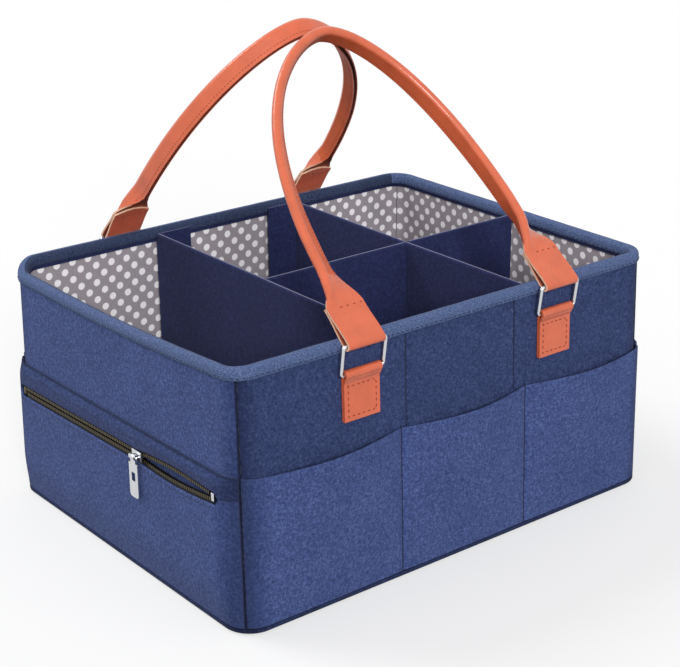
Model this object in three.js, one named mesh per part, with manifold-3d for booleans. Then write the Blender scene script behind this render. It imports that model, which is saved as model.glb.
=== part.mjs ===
// Diaper caddy: a felt basket stiffened by boards, with a divider insert, sewn pockets, a zipped
// end pocket and two rolled leather carrying handles on metal rings.
// Millimetres, +Z up. The origin is the middle of the underside. X runs along the long walls,
// the front wall faces -Y and the zipped end faces -X.

import * as THREE from 'three';
import { mergeVertices } from 'three/addons/utils/BufferGeometryUtils.js';
import Module from 'manifold-3d';

const wasm = await Module();
wasm.setup();

// Basket
const LENGTH = 374; // over the end walls at half height
const DEPTH = 288; // over the long walls at half height
const HEIGHT = 185; // underside to the top of the rim
const END_TUCK = 1.5; // the end walls lean in by this from base to rim
const LONG_TUCK = 5.5; // the long walls lean in by this from base to rim
const CORNER_RADIUS = 18;
const END_DIP_BACK = 7; // the left end's rim sinks by this where it meets the back corner
const END_DIP_FRONT = 1; // the same at the front corner
const DIP_FOOT = 10; // height below which the left end keeps its place
const GAP = 0.3; // between neighbouring layers

// Layers of a wall, from outside to inside
const FELT = 2;
const BOARD = 1.2;
const LINING = 0.8;
const BASE_BOARD = 3;

// Trim
const BINDING = 1; // thickness of the tape folded over the rim
const BINDING_DROP = 8;
const FACING = 0.8;
const FACING_DROP = 11;
const PIPING_WIDTH = 2.6;
const PIPING_LOW = 0.5;
const PIPING_TOP = 4;
const SEAM_WIDTH = 1.2;
const SEAM_PROUD = 0.8;

// Pockets sewn on the outside
const POCKET_TOP = 111;
const POCKET_SEAM_LEFT = 53.5; // from the middle to the seam between the left bay and the middle one
const POCKET_SEAM_RIGHT = 61.5; // the same for the right bay
const POCKET_BOW = 10; // how far a pocket's mouth stands away from the wall
const SLIP_POCKET_BOW = 9;
const POCKET_FULLNESS = 0.8; // power of the height by which a pocket swells up to its mouth

// Zipped pocket on the left end
const ZIP_HEIGHT = 91.5; // of the zip's line at its back end, before the end wall's dip
const ZIP_CLIMB = 4; // from the zip's back end to its front end
const ZIP_END = 5; // from where a corner starts to round to the zip's end
const ZIP_STANDOFF = 5; // from the wall to the back of the pocket's felt
const ZIP_WINDOW = 9.6; // between the felt edges on the closed stretch
const ZIP_MOUTH = 5; // how much wider the rows stand on the open stretch
const ZIP_RAMP = 16; // length over which the pocket comes back to the wall at the corners
const ZIP_RETURN = 3; // power of the height by which the upper panel comes back to the wall
const ZIP_SWELL = 0.4; // share of the lower panel's height where it comes away from the wall
const ROW_SPACE = 1.6; // between the two rows on the closed stretch
const TOOTH_LENGTH = 1.2;
const TOOTH_PITCH = 4;
const TOOTH_WIDTH = 2;
const ROW_SPINE = 1;
const ROW_THICKNESS = 2.4;
const TAPE = 0.8;
const TAPE_LAP = 4; // of the tape behind the felt
const STOP_LENGTH = 3;

// Zip slider and its puller
const SLIDER_Y = -35; // where it stands, closed behind it and open in front of it
const SLIDER_LENGTH = 11;
const SLIDER_WIDTH = 8;
const SLIDER_BLADE = 1.3;
const SLIDER_NECK = 1;
const BRIDGE_SPAN = 7.2;
const BRIDGE_BAR = 1.6;
const BRIDGE_REACH = 2.4; // from the front blade to the middle of the bar
const PULLER_LENGTH = 26;
const PULLER_WIDTH = 10.5;
const PULLER_THICKNESS = 1.4;
const PULLER_EYE_WALL = 0.9;
const PULLER_SLOT = 6.5;
const PULLER_SLOT_WIDTH = 4.5;
const PULLER_SLOT_DROP = 7; // from the plate's upper edge to the slot

// Handles and what holds them
const LEATHER = 1.5;
const TAB_SPACING = 176; // between the middles of the two tabs of one handle
const TAB_WIDTH = 30;
const TAB_DROP = 33; // from the ring's lower bar to the tab's lower edge
const RING_DROP = 23; // from the rim to the ring's lower bar
const RING_HEIGHT = 21; // between the middles of the two bars
const RING_WIRE = 2.8;
const RING_CORNER = 2.2;
const RING_LEAN = 8; // degrees outwards
const STRAP_DEPTH = 15; // from the fold on the outside to the stitched edges on the inside
const STRAP_THICKNESS = 8.5;
const STRAP_TAPER = 0.38; // how much thinner the stitched edge is than the fold
const STRAP_SQUARENESS = 0.35; // power that gives the flat end's section near flat sides
const STRAP_FLAT = 28; // length of the flat end above the ring
const STRAP_CHANGE = 34; // length over which the flat end rolls up
const FRONT_RISE = 220; // from the ring's upper bar to the middle of the strap at the crown
const REAR_RISE = 200; // the same for the rear handle
const FRONT_LEAN = 48.5; // degrees inwards, of the flat ends
const REAR_LEAN = 40;
const FRONT_LIFT = 19; // the crown stands up from the line of the flat ends by this
const REAR_LIFT = 13;
const LEG_STRAIGHT = 38; // length of a leg that follows the flat end's direction
const LEG_PULL = 30; // below the crown, how far up a leg still heads straight on
const CROWN_PULL = 27; // half the length over which the crown runs level

// Divider insert
const DIVIDER = 3.5;
const DIVIDER_LEFT = 63; // from the middle to the left cross panel
const DIVIDER_RIGHT = 70;
const DIVIDER_Y = -5;
const DIVIDER_DROP = 4; // below the rim
const DIVIDER_CLEARANCE = 0.8;

const CORNER_STEPS = 6;
const ROUND_STEPS = 16;

const radians = THREE.MathUtils.degToRad;
const wall = FELT + GAP + BOARD + GAP + LINING;
const boardFace = FELT + GAP;
const liningFace = boardFace + BOARD + GAP;
const facingFace = wall + GAP;
const bindingFace = facingFace + FACING + GAP;
const rimInside = bindingFace + BINDING;
const floorBoard = FELT + GAP;
const floorLining = floorBoard + BASE_BOARD + GAP;
const floorTop = floorLining + LINING;
const wallTop = HEIGHT - BINDING - GAP;
const ringZ = HEIGHT - RING_DROP;
const zipHalf = DEPTH / 2 - CORNER_RADIUS - ZIP_END;

// Colours
const NAVY = 0x3e4c80;
const DENIM = 0x5a73a5;
const DARK_NAVY = 0x2d345f;
const DOTTED_GREY = 0x7d787d;
const CARD_GREY = 0xa8a49a;
const TAN = 0xde6e4b;
const SILVER = 0xc4c6c9;
const OLD_BRASS = 0x6e6350;

const caddy = new THREE.Group();

function add(name, geometry, color, finish = {}, parent = caddy) {
  const { roughness = 0.9, metalness = 0 } = finish;
  const material = new THREE.MeshStandardMaterial({ color, roughness, metalness });
  const mesh = new THREE.Mesh(geometry, material);
  mesh.name = name;
  parent.add(mesh);
  return mesh;
}

const METAL = { roughness: 0.3, metalness: 1 };
const GRAINED = { roughness: 0.55 };

// Faces point outwards when the signed volume is positive.
function facingOut(geometry) {
  const p = geometry.attributes.position;
  const index = geometry.index.array;
  const [a, b, c] = [new THREE.Vector3(), new THREE.Vector3(), new THREE.Vector3()];
  let volume = 0;
  for (let i = 0; i < index.length; i += 3) {
    a.fromBufferAttribute(p, index[i]);
    b.fromBufferAttribute(p, index[i + 1]);
    c.fromBufferAttribute(p, index[i + 2]);
    volume += a.dot(b.cross(c));
  }
  if (volume < 0) {
    for (let i = 0; i < index.length; i += 3) {
      [index[i], index[i + 1]] = [index[i + 1], index[i]];
    }
  }
  return geometry;
}

// A skin through rings of equally many points. An open one gets a cap at each end, laid as a
// strip between the ring's first half and its second half read backwards.
function loft(rings, closed = false) {
  const count = rings[0].length;
  const positions = rings.flat().flatMap((point) => point.toArray());
  const index = [];
  const last = closed ? rings.length : rings.length - 1;
  for (let i = 0; i < last; i += 1) {
    const here = i * count;
    const next = ((i + 1) % rings.length) * count;
    for (let j = 0; j < count; j += 1) {
      const k = (j + 1) % count;
      index.push(here + j, here + k, next + k, here + j, next + k, next + j);
    }
  }
  if (!closed) {
    const end = (rings.length - 1) * count;
    for (let i = 0; i < count / 2 - 1; i += 1) {
      const [a, b, c, d] = [i, i + 1, count - 2 - i, count - 1 - i];
      index.push(a, c, b, a, d, c);
      index.push(end + a, end + b, end + c, end + a, end + c, end + d);
    }
  }
  const geometry = new THREE.BufferGeometry();
  geometry.setAttribute('position', new THREE.Float32BufferAttribute(positions, 3));
  geometry.setIndex(index);
  return facingOut(geometry);
}

// How far the left end has sunk at a point: in full along its straight stretch, less round the corners
function endDip(x, y, z) {
  const [past, over] = [-x - LENGTH / 2 + CORNER_RADIUS, Math.abs(y) - DEPTH / 2 + CORNER_RADIUS];
  if (past <= 0 || z <= DIP_FOOT) {
    return 0;
  }
  const round = THREE.MathUtils.smoothstep(Math.atan2(Math.max(0, over), past), 0, Math.PI / 2);
  const back = THREE.MathUtils.clamp(0.5 + y / (DEPTH - 2 * CORNER_RADIUS), 0, 1);
  const rim = THREE.MathUtils.lerp(END_DIP_FRONT, END_DIP_BACK, back);
  return (rim * (1 - round) * (z - DIP_FOOT)) / (HEIGHT - DIP_FOOT);
}

// Lean of the walls: what is built upright follows the tuck of the ends and of the long walls, and
// the dip of the left end.
function lean(geometry) {
  const p = geometry.attributes.position;
  for (let i = 0; i < p.count; i += 1) {
    const [x, y, z] = [p.getX(i), p.getY(i), p.getZ(i)];
    const rise = z / HEIGHT - 0.5;
    p.setX(i, x * (1 - (rise * END_TUCK) / (LENGTH / 2)));
    p.setY(i, y * (1 - (rise * LONG_TUCK) / (DEPTH / 2)));
    p.setZ(i, z - endDip(x, y, z));
  }
  return geometry;
}

function box(width, depth, height, x, y, low) {
  return new THREE.BoxGeometry(width, depth, height).translate(x, y, low + height / 2);
}

// A flat shape in the u, v plane, thick along their cross product and centred on it.
function extrude(shape, thickness, u, v) {
  const options = { depth: thickness, bevelEnabled: false, curveSegments: ROUND_STEPS };
  const geometry = new THREE.ExtrudeGeometry(shape, options);
  geometry.translate(0, 0, -thickness / 2);
  const w = u.clone().cross(v);
  return geometry.applyMatrix4(new THREE.Matrix4().makeBasis(u, v, w));
}

const X = new THREE.Vector3(1, 0, 0);
const Y = new THREE.Vector3(0, 1, 0);
const Z = new THREE.Vector3(0, 0, 1);

function toSolid(geometry) {
  const bare = geometry.clone();
  bare.deleteAttribute('normal');
  bare.deleteAttribute('uv');
  const merged = mergeVertices(bare, 1e-4);
  const vertProperties = new Float32Array(merged.attributes.position.array);
  const triVerts = new Uint32Array(merged.index.array);
  return new wasm.Manifold(new wasm.Mesh({ numProp: 3, vertProperties, triVerts }));
}

function toGeometry(solid) {
  const mesh = solid.getMesh();
  const geometry = new THREE.BufferGeometry();
  geometry.setAttribute('position', new THREE.Float32BufferAttribute(mesh.vertProperties, 3));
  geometry.setIndex(Array.from(mesh.triVerts));
  return geometry;
}

function join(geometries) {
  return geometries.map(toSolid).reduce((whole, piece) => whole.add(piece));
}

// Outline of the basket
// A station is a point on the outer face of the walls and the outward direction there. Corner 0 is
// front left, and the corners follow anticlockwise seen from above.
function cornerStation(corner, angle) {
  const signs = [[-1, -1], [1, -1], [1, 1], [-1, 1]][corner];
  const centre = [signs[0] * (LENGTH / 2 - CORNER_RADIUS), signs[1] * (DEPTH / 2 - CORNER_RADIUS)];
  const turn = Math.PI * (1 + corner / 2) + angle;
  const out = [Math.cos(turn), Math.sin(turn)];
  return { x: centre[0] + CORNER_RADIUS * out[0], y: centre[1] + CORNER_RADIUS * out[1], out };
}

const QUARTER = Math.PI / 2;
const EIGHTH = Math.PI / 4;

function roundTheBasket() {
  const stations = [];
  for (let corner = 0; corner < 4; corner += 1) {
    for (let i = 0; i <= CORNER_STEPS; i += 1) {
      stations.push(cornerStation(corner, (QUARTER * i) / CORNER_STEPS));
    }
  }
  return stations;
}

// One side, from the middle of one corner to the middle of the next. cut is half the width left
// open at each corner, and along holds extra places on the straight stretch, from 0 to 1.
function oneSide(side, cut, along = []) {
  const stations = [];
  const open = cut / CORNER_RADIUS;
  const half = CORNER_STEPS / 2;
  for (let i = 0; i <= half; i += 1) {
    stations.push(cornerStation(side, EIGHTH + open + ((EIGHTH - open) * i) / half));
  }
  const start = stations[half];
  const next = (side + 1) % 4;
  const end = cornerStation(next, 0);
  for (const t of along) {
    const x = THREE.MathUtils.lerp(start.x, end.x, t);
    const y = THREE.MathUtils.lerp(start.y, end.y, t);
    stations.push({ x, y, out: start.out });
  }
  for (let i = 0; i <= half; i += 1) {
    stations.push(cornerStation(next, ((EIGHTH - open) * i) / half));
  }
  return stations;
}

// depth counts inwards from the outer face, so what stands proud has a negative one
function at(station, depth, z) {
  return new THREE.Vector3(station.x - station.out[0] * depth, station.y - station.out[1] * depth, z);
}

// A closed band round the basket with the section given as [depth, z] corners
function band(section) {
  const rings = roundTheBasket().map((s) => section.map(([depth, z]) => at(s, depth, z)));
  return lean(loft(rings, true));
}

function slabSection(outer, inner, low, high) {
  return [[outer, low], [outer, high], [inner, high], [inner, low]];
}

// A curved sheet over stations. inside(station index, v) gives the depth of its inner face and
// height(station index, v) its z, with v from 0 at the lower edge to 1 at the upper one.
function sheet(stations, thickness, rows, inside, height) {
  const rings = [];
  for (let row = 0; row <= rows; row += 1) {
    const v = row / rows;
    const outer = stations.map((s, i) => at(s, inside(i, v) - thickness, height(i, v)));
    const inner = stations.map((s, i) => at(s, inside(i, v), height(i, v)));
    rings.push([...outer, ...inner.reverse()]);
  }
  return lean(loft(rings));
}

function panel(side, depth, thickness, low, high, cut) {
  const stations = oneSide(side, cut);
  return sheet(stations, thickness, 1, () => depth + thickness, (i, v) => low + v * (high - low));
}

// The floor's layers
function floorSlab(inset, low, thickness) {
  const outline = roundTheBasket().map((s) => at(s, inset, 0));
  const shape = new THREE.Shape(outline.map((p) => new THREE.Vector2(p.x, p.y)));
  return lean(extrude(shape, thickness, X, Y).translate(0, 0, low + thickness / 2));
}

const SIDES = ['front', 'right', 'back', 'left'];

function buildBasket() {
  add('base_panel', floorSlab(0, 0, FELT), NAVY);
  add('base_board', floorSlab(liningFace, floorBoard, BASE_BOARD), CARD_GREY);
  add('floor_lining', floorSlab(liningFace, floorLining, LINING), DOTTED_GREY);
  const seamCut = SEAM_WIDTH / 2 + GAP;
  SIDES.forEach((name, side) => {
    add(`${name}_wall`, panel(side, 0, FELT, FELT + GAP, wallTop, seamCut), NAVY);
    add(`${name}_board`, stiffener(side), CARD_GREY);
    const lining = panel(side, liningFace, LINING, floorTop + GAP, wallTop, GAP);
    add(`${name}_lining`, lining, DOTTED_GREY);
  });
  ['front_left', 'front_right', 'back_right', 'back_left'].forEach((name, corner) => {
    add(`corner_seam_${name}`, cornerSeam(corner), DARK_NAVY);
  });
}

// A flat stiffening board fills the straight stretch of a wall.
function stiffener(side) {
  const start = cornerStation(side, QUARTER);
  const end = cornerStation((side + 1) % 4, 0);
  const inside = () => boardFace + BOARD;
  return sheet([start, end], BOARD, 1, inside, (i, v) => floorBoard + v * (wallTop - floorBoard));
}

function cornerSeam(corner) {
  const station = cornerStation(corner, EIGHTH);
  const tangent = [-station.out[1], station.out[0]];
  const corners = [[-1, -1], [1, -1], [1, 1], [-1, 1]];
  const ring = (z) => corners.map(([side, outwards]) => {
    const point = at(station, outwards > 0 ? -SEAM_PROUD : FELT / 2, z);
    point.x += (side * tangent[0] * SEAM_WIDTH) / 2;
    point.y += (side * tangent[1] * SEAM_WIDTH) / 2;
    return point;
  });
  return lean(loft([ring(PIPING_TOP + GAP), ring(HEIGHT - BINDING_DROP - GAP)]));
}

// Tape folded over the rim, the facing under its inner leg and the piping round the foot
function buildTrim() {
  const low = HEIGHT - BINDING_DROP;
  const under = HEIGHT - BINDING;
  const folded = [
    [-GAP - BINDING, low], [-GAP - BINDING, HEIGHT], [rimInside, HEIGHT], [rimInside, low],
    [bindingFace, low], [bindingFace, under], [-GAP, under], [-GAP, low],
  ];
  add('rim_binding', band(folded), DENIM);
  const facing = slabSection(facingFace, facingFace + FACING, HEIGHT - FACING_DROP, wallTop);
  add('inner_facing', band(facing), DARK_NAVY);
  const outer = -GAP - PIPING_WIDTH;
  const edge = PIPING_WIDTH / 4;
  const piping = [
    [-GAP, PIPING_LOW], [outer + edge, PIPING_LOW], [outer, PIPING_LOW + edge],
    [outer, PIPING_TOP - edge], [outer + edge, PIPING_TOP], [-GAP, PIPING_TOP],
  ];
  add('base_piping', band(piping), DARK_NAVY);
}

// Slip pockets: a sheet sewn down at the corners, the foot and its seams, bowing out at the mouth
const BAY_STEPS = 8;
const POCKET_ROWS = 5;

function slipPocket(side, seams, bow) {
  const straight = side % 2 ? DEPTH - 2 * CORNER_RADIUS : LENGTH - 2 * CORNER_RADIUS;
  const marks = [0, ...seams.map((place) => 0.5 + place / straight), 1];
  const along = [];
  for (let bay = 1; bay < marks.length; bay += 1) {
    for (let i = 1; i <= BAY_STEPS; i += 1) {
      along.push(THREE.MathUtils.lerp(marks[bay - 1], marks[bay], i / BAY_STEPS));
    }
  }
  along.pop();
  const stations = oneSide(side, SEAM_WIDTH / 2 + GAP, along);
  const reach = runningLengths(stations);
  const sewn = [0, ...seamReach(marks, straight, reach), reach[reach.length - 1]];
  const share = reach.map((length) => bayShare(length, sewn));
  const low = PIPING_TOP + GAP;
  const inside = (i, v) => -GAP - bow * share[i] * v ** POCKET_FULLNESS;
  return sheet(stations, FELT, POCKET_ROWS, inside, (i, v) => low + v * (POCKET_TOP - low));
}

function runningLengths(stations) {
  const lengths = [0];
  for (let i = 1; i < stations.length; i += 1) {
    const step = Math.hypot(stations[i].x - stations[i - 1].x, stations[i].y - stations[i - 1].y);
    lengths.push(lengths[i - 1] + step);
  }
  return lengths;
}

// Where the seams between the bays lie, along the sheet from its first corner
function seamReach(marks, straight, reach) {
  const cornerLength = reach[CORNER_STEPS / 2];
  return marks.slice(1, -1).map((mark) => cornerLength + mark * straight);
}

// 0 on a seam and 1 in the middle of a bay
function bayShare(length, sewn) {
  for (let bay = 1; bay < sewn.length; bay += 1) {
    if (length <= sewn[bay] + 1e-6) {
      const t = (length - sewn[bay - 1]) / (sewn[bay] - sewn[bay - 1]);
      return Math.sin(Math.PI * t);
    }
  }
  return 0;
}

function buildPockets() {
  const seams = [-POCKET_SEAM_LEFT, POCKET_SEAM_RIGHT];
  add('front_pocket', slipPocket(0, seams, POCKET_BOW), NAVY);
  add('back_pocket', slipPocket(2, seams, POCKET_BOW), NAVY);
  add('right_pocket', slipPocket(1, [], SLIP_POCKET_BOW), NAVY);
}

// Zipped pocket
const ZIP_STEPS = 28;

// How far a row has come away from the closed line at y: a lens between the slider and the front end
function parting(y) {
  const t = (SLIDER_Y - y) / (SLIDER_Y + zipHalf);
  return t > 0 && t < 1 ? (ZIP_MOUTH / 2) * Math.sin(Math.PI * t) : 0;
}

// Height of the zip's line at y
function zipLine(y) {
  return ZIP_HEIGHT + ZIP_CLIMB * (0.5 - y / (2 * zipHalf));
}

function zipPanel(isUpper) {
  const along = Array.from({ length: ZIP_STEPS - 1 }, (_, i) => (i + 1) / ZIP_STEPS);
  const stations = oneSide(3, SEAM_WIDTH / 2 + GAP, along);
  const reach = runningLengths(stations);
  const total = reach[reach.length - 1];
  const ramp = reach.map((r) => THREE.MathUtils.smoothstep(Math.min(r, total - r), 0, ZIP_RAMP));
  const onCorner = (i) => Math.min(i, stations.length - 1 - i) < CORNER_STEPS / 2;
  const edge = (i) => (onCorner(i) ? GAP / 2 : ZIP_WINDOW / 2 + parting(stations[i].y));
  const line = (i) => zipLine(stations[i].y);
  const low = PIPING_TOP + GAP;
  const away = (i, share) => -GAP - (ZIP_STANDOFF - GAP) * ramp[i] * share;
  if (isUpper) {
    const height = (i, v) => THREE.MathUtils.lerp(line(i) + edge(i), POCKET_TOP, v);
    return sheet(stations, FELT, 3, (i, v) => away(i, Math.cos(QUARTER * v ** ZIP_RETURN)), height);
  }
  const height = (i, v) => THREE.MathUtils.lerp(low, line(i) - edge(i), v);
  const swell = (v) => Math.sin(QUARTER * Math.min(1, v / ZIP_SWELL));
  return sheet(stations, FELT, POCKET_ROWS, (i, v) => away(i, swell(v)), height);
}

// A flat strip standing parallel to the left wall, its middle at the given distance from the wall
function onZipFace(outline, distance, thickness) {
  const shape = new THREE.Shape(outline.map(([y, z]) => new THREE.Vector2(y, z)));
  return extrude(shape, thickness, Y, Z).translate(-LENGTH / 2 - distance, 0, 0);
}

const tapePlane = ZIP_STANDOFF - GAP - TAPE / 2;

function zipTape(sign) {
  const ys = Array.from({ length: ZIP_STEPS + 1 }, (_, i) => -zipHalf + (2 * zipHalf * i) / ZIP_STEPS);
  const inner = ROW_SPACE / 2 + TOOTH_LENGTH + ROW_SPINE + GAP;
  const outer = ZIP_WINDOW / 2 + TAPE_LAP;
  const near = ys.map((y) => [y, zipLine(y) + sign * (inner + parting(y))]);
  const far = ys.map((y) => [y, zipLine(y) + sign * (outer + parting(y))]);
  return lean(onZipFace([...near, ...far.reverse()], tapePlane, TAPE));
}

function zipRow(sign) {
  const count = Math.floor((2 * zipHalf) / TOOTH_PITCH);
  const tips = [];
  const backs = [];
  for (let i = 0; i < count; i += 1) {
    const y = (i - (count - 1) / 2) * TOOTH_PITCH + (sign * TOOTH_PITCH) / 4;
    const rowEdge = (distance) => zipLine(y) + sign * (distance + parting(y));
    const tip = rowEdge(ROW_SPACE / 2);
    const root = rowEdge(ROW_SPACE / 2 + TOOTH_LENGTH);
    const [left, right] = [y - TOOTH_WIDTH / 2, y + TOOTH_WIDTH / 2];
    tips.push([left, root], [left, tip], [right, tip], [right, root]);
    backs.push([y, rowEdge(ROW_SPACE / 2 + TOOTH_LENGTH + ROW_SPINE)]);
  }
  return lean(onZipFace([...tips, ...backs.reverse()], tapePlane, ROW_THICKNESS));
}

function zipStop(end) {
  const y = end * (zipHalf + GAP + STOP_LENGTH / 2);
  const height = ROW_SPACE + 2 * TOOTH_LENGTH + 2 * ROW_SPINE;
  const x = -LENGTH / 2 - tapePlane;
  return lean(box(ROW_THICKNESS, STOP_LENGTH, height, x, y, zipLine(y) - height / 2));
}

const frontBlade = tapePlane + ROW_THICKNESS / 2 + GAP;
const backBlade = tapePlane - ROW_THICKNESS / 2 - GAP - SLIDER_BLADE;
const bridgeBar = frontBlade + SLIDER_BLADE + BRIDGE_REACH;

// A block on the zip's line, from one distance off the wall to another, centred at y
function onSlider(from, to, y, length, height) {
  const middle = -LENGTH / 2 - (from + to) / 2;
  return box(to - from, length, height, middle, y, zipLine(y) - height / 2);
}

function zipSlider() {
  const blade = (from) => onSlider(from, from + SLIDER_BLADE, SLIDER_Y, SLIDER_LENGTH, SLIDER_WIDTH);
  const neckLength = SLIDER_LENGTH / 3;
  const neckY = SLIDER_Y - (SLIDER_LENGTH - neckLength) / 2;
  const neck = onSlider(backBlade, frontBlade + SLIDER_BLADE / 2, neckY, neckLength, SLIDER_NECK);
  const legPlace = (BRIDGE_SPAN + BRIDGE_BAR) / 2;
  const legs = [-1, 1].map((end) => onSlider(
    frontBlade + SLIDER_BLADE / 2, bridgeBar, SLIDER_Y + end * legPlace, BRIDGE_BAR, BRIDGE_BAR,
  ));
  const barLength = BRIDGE_SPAN + 2 * BRIDGE_BAR;
  const bar = new THREE.CylinderGeometry(BRIDGE_BAR / 2, BRIDGE_BAR / 2, barLength, ROUND_STEPS);
  bar.translate(-LENGTH / 2 - bridgeBar, SLIDER_Y, zipLine(SLIDER_Y));
  return lean(toGeometry(join([blade(backBlade), blade(frontBlade), neck, ...legs, bar])));
}

// The puller hangs from a rolled eye on the bridge and has a slot in its plate.
function zipPuller() {
  const bore = BRIDGE_BAR / 2 + GAP;
  const eyeRadius = bore + PULLER_EYE_WALL;
  const eyeWidth = BRIDGE_SPAN - 4 * GAP;
  const pivot = new THREE.Vector3(-LENGTH / 2 - bridgeBar, SLIDER_Y, zipLine(SLIDER_Y));
  const round = new THREE.CylinderGeometry(eyeRadius, eyeRadius, eyeWidth, ROUND_STEPS);
  const hole = new THREE.CylinderGeometry(bore, bore, eyeWidth * 2, ROUND_STEPS);
  const plateTop = -eyeRadius - PULLER_WIDTH / 4;
  const tongueLow = plateTop - PULLER_THICKNESS;
  const tongue = box(PULLER_THICKNESS, eyeWidth, -tongueLow, 0, 0, tongueLow);
  const plate = roundedPlate(PULLER_WIDTH, PULLER_LENGTH, plateTop - PULLER_LENGTH);
  const slotLow = plateTop - PULLER_SLOT_DROP - PULLER_SLOT;
  const slot = new THREE.BoxGeometry(PULLER_THICKNESS * 2, PULLER_SLOT_WIDTH, PULLER_SLOT);
  slot.translate(0, 0, slotLow + PULLER_SLOT / 2);
  const body = join([round, tongue, plate]).subtract(toSolid(hole)).subtract(toSolid(slot));
  return lean(toGeometry(body).translate(pivot.x, pivot.y, pivot.z));
}

function roundedPlate(width, length, low) {
  const corner = width / 4;
  const [half, high] = [width / 2, low + length];
  const shape = new THREE.Shape();
  shape.moveTo(-half, high);
  shape.lineTo(-half, low + corner);
  shape.absarc(-half + corner, low + corner, corner, Math.PI, 1.5 * Math.PI, false);
  shape.absarc(half - corner, low + corner, corner, 1.5 * Math.PI, 2 * Math.PI, false);
  shape.lineTo(half, high);
  return extrude(shape, PULLER_THICKNESS, Y, Z);
}

function buildZip() {
  add('zip_pocket_lower', zipPanel(false), NAVY);
  add('zip_pocket_upper', zipPanel(true), NAVY);
  add('zip_tape_lower', zipTape(-1), DARK_NAVY);
  add('zip_tape_upper', zipTape(1), DARK_NAVY);
  add('zip_row_lower', zipRow(-1), OLD_BRASS, METAL);
  add('zip_row_upper', zipRow(1), OLD_BRASS, METAL);
  add('zip_stop_front', zipStop(-1), OLD_BRASS, METAL);
  add('zip_stop_back', zipStop(1), OLD_BRASS, METAL);
  add('zip_slider', zipSlider(), SILVER, METAL);
  add('zip_puller', zipPuller(), SILVER, METAL);
}

// Handles
const bore = RING_WIRE / 2 + GAP;
const loopRadius = bore + LEATHER;

// An anchor tab: leather folded round the ring's lower bar and sewn flat on the wall
function anchorTab() {
  const back = loopRadius;
  const front = loopRadius - 2 * LEATHER;
  const meet = Math.acos(front / loopRadius);
  const shape = new THREE.Shape();
  shape.moveTo(back, -TAB_DROP);
  shape.absarc(0, 0, loopRadius, 0, 2 * Math.PI - meet, false);
  shape.lineTo(front, -TAB_DROP);
  const hole = new THREE.Path();
  hole.absarc(0, 0, bore, 0, 2 * Math.PI, true);
  shape.holes.push(hole);
  return extrude(shape, TAB_WIDTH, Y, Z);
}

const RING_SIDES = 8;
const RING_STEPS = 4;

// A bent wire ring standing on its lower bar
function wireRing() {
  const half = TAB_WIDTH / 2 + GAP;
  const corners = [
    [half, RING_CORNER, -QUARTER], [half, RING_HEIGHT - RING_CORNER, 0],
    [-half, RING_HEIGHT - RING_CORNER, QUARTER], [-half, RING_CORNER, Math.PI],
  ];
  const rings = [];
  for (const [x, z, from] of corners) {
    for (let i = 0; i <= RING_STEPS; i += 1) {
      const turn = from + (QUARTER * i) / RING_STEPS;
      const out = new THREE.Vector3(Math.cos(turn), 0, Math.sin(turn));
      const middle = new THREE.Vector3(x, 0, z).addScaledVector(out, RING_CORNER);
      rings.push(wireSection(middle, out));
    }
  }
  return loft(rings, true);
}

function wireSection(middle, out) {
  return Array.from({ length: RING_SIDES }, (_, i) => {
    const turn = (2 * Math.PI * (i + 0.5)) / RING_SIDES;
    const point = middle.clone().addScaledVector(out, (Math.cos(turn) * RING_WIRE) / 2);
    return point.addScaledVector(Y, (Math.sin(turn) * RING_WIRE) / 2);
  });
}

const STRAP_SIDES = 12;
const LEG_STEPS = 20;

function squarer(value) {
  return Math.sign(value) * Math.abs(value) ** STRAP_SQUARENESS;
}

// Strap section as [across, inwards]: flat and wide at 0, rolled at 1 with the fold outside and the
// stitched edges inside
function strapSection(rolled) {
  return Array.from({ length: STRAP_SIDES }, (_, i) => {
    const turn = (2 * Math.PI * (i + 0.5)) / STRAP_SIDES;
    const [c, s] = [Math.cos(turn), Math.sin(turn)];
    const flat = [(TAB_WIDTH / 2) * squarer(c), LEATHER * squarer(s)];
    const roll = [(STRAP_THICKNESS / 2) * c * (1 - STRAP_TAPER * Math.max(0, s)), (STRAP_DEPTH / 2) * s];
    return flat.map((value, k) => THREE.MathUtils.lerp(value, roll[k], rolled));
  });
}

// One leg from its ring to the crown: a straight stretch and a curve that levels out at the crown
function legPath(end, rise, lift) {
  const x = (end * TAB_SPACING) / 2;
  const foot = new THREE.Vector3(x, 0, LEG_STRAIGHT);
  const shoulder = new THREE.Vector3(x, 0, rise - LEG_PULL);
  const crown = new THREE.Vector3(0, -lift, rise);
  const level = crown.clone().setX(end * CROWN_PULL);
  const curve = new THREE.CubicBezierCurve3(foot, shoulder, level, crown);
  const flat = [new THREE.Vector3(x, 0, 0), new THREE.Vector3(x, 0, STRAP_FLAT)];
  return [...flat, ...curve.getSpacedPoints(LEG_STEPS)];
}

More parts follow.
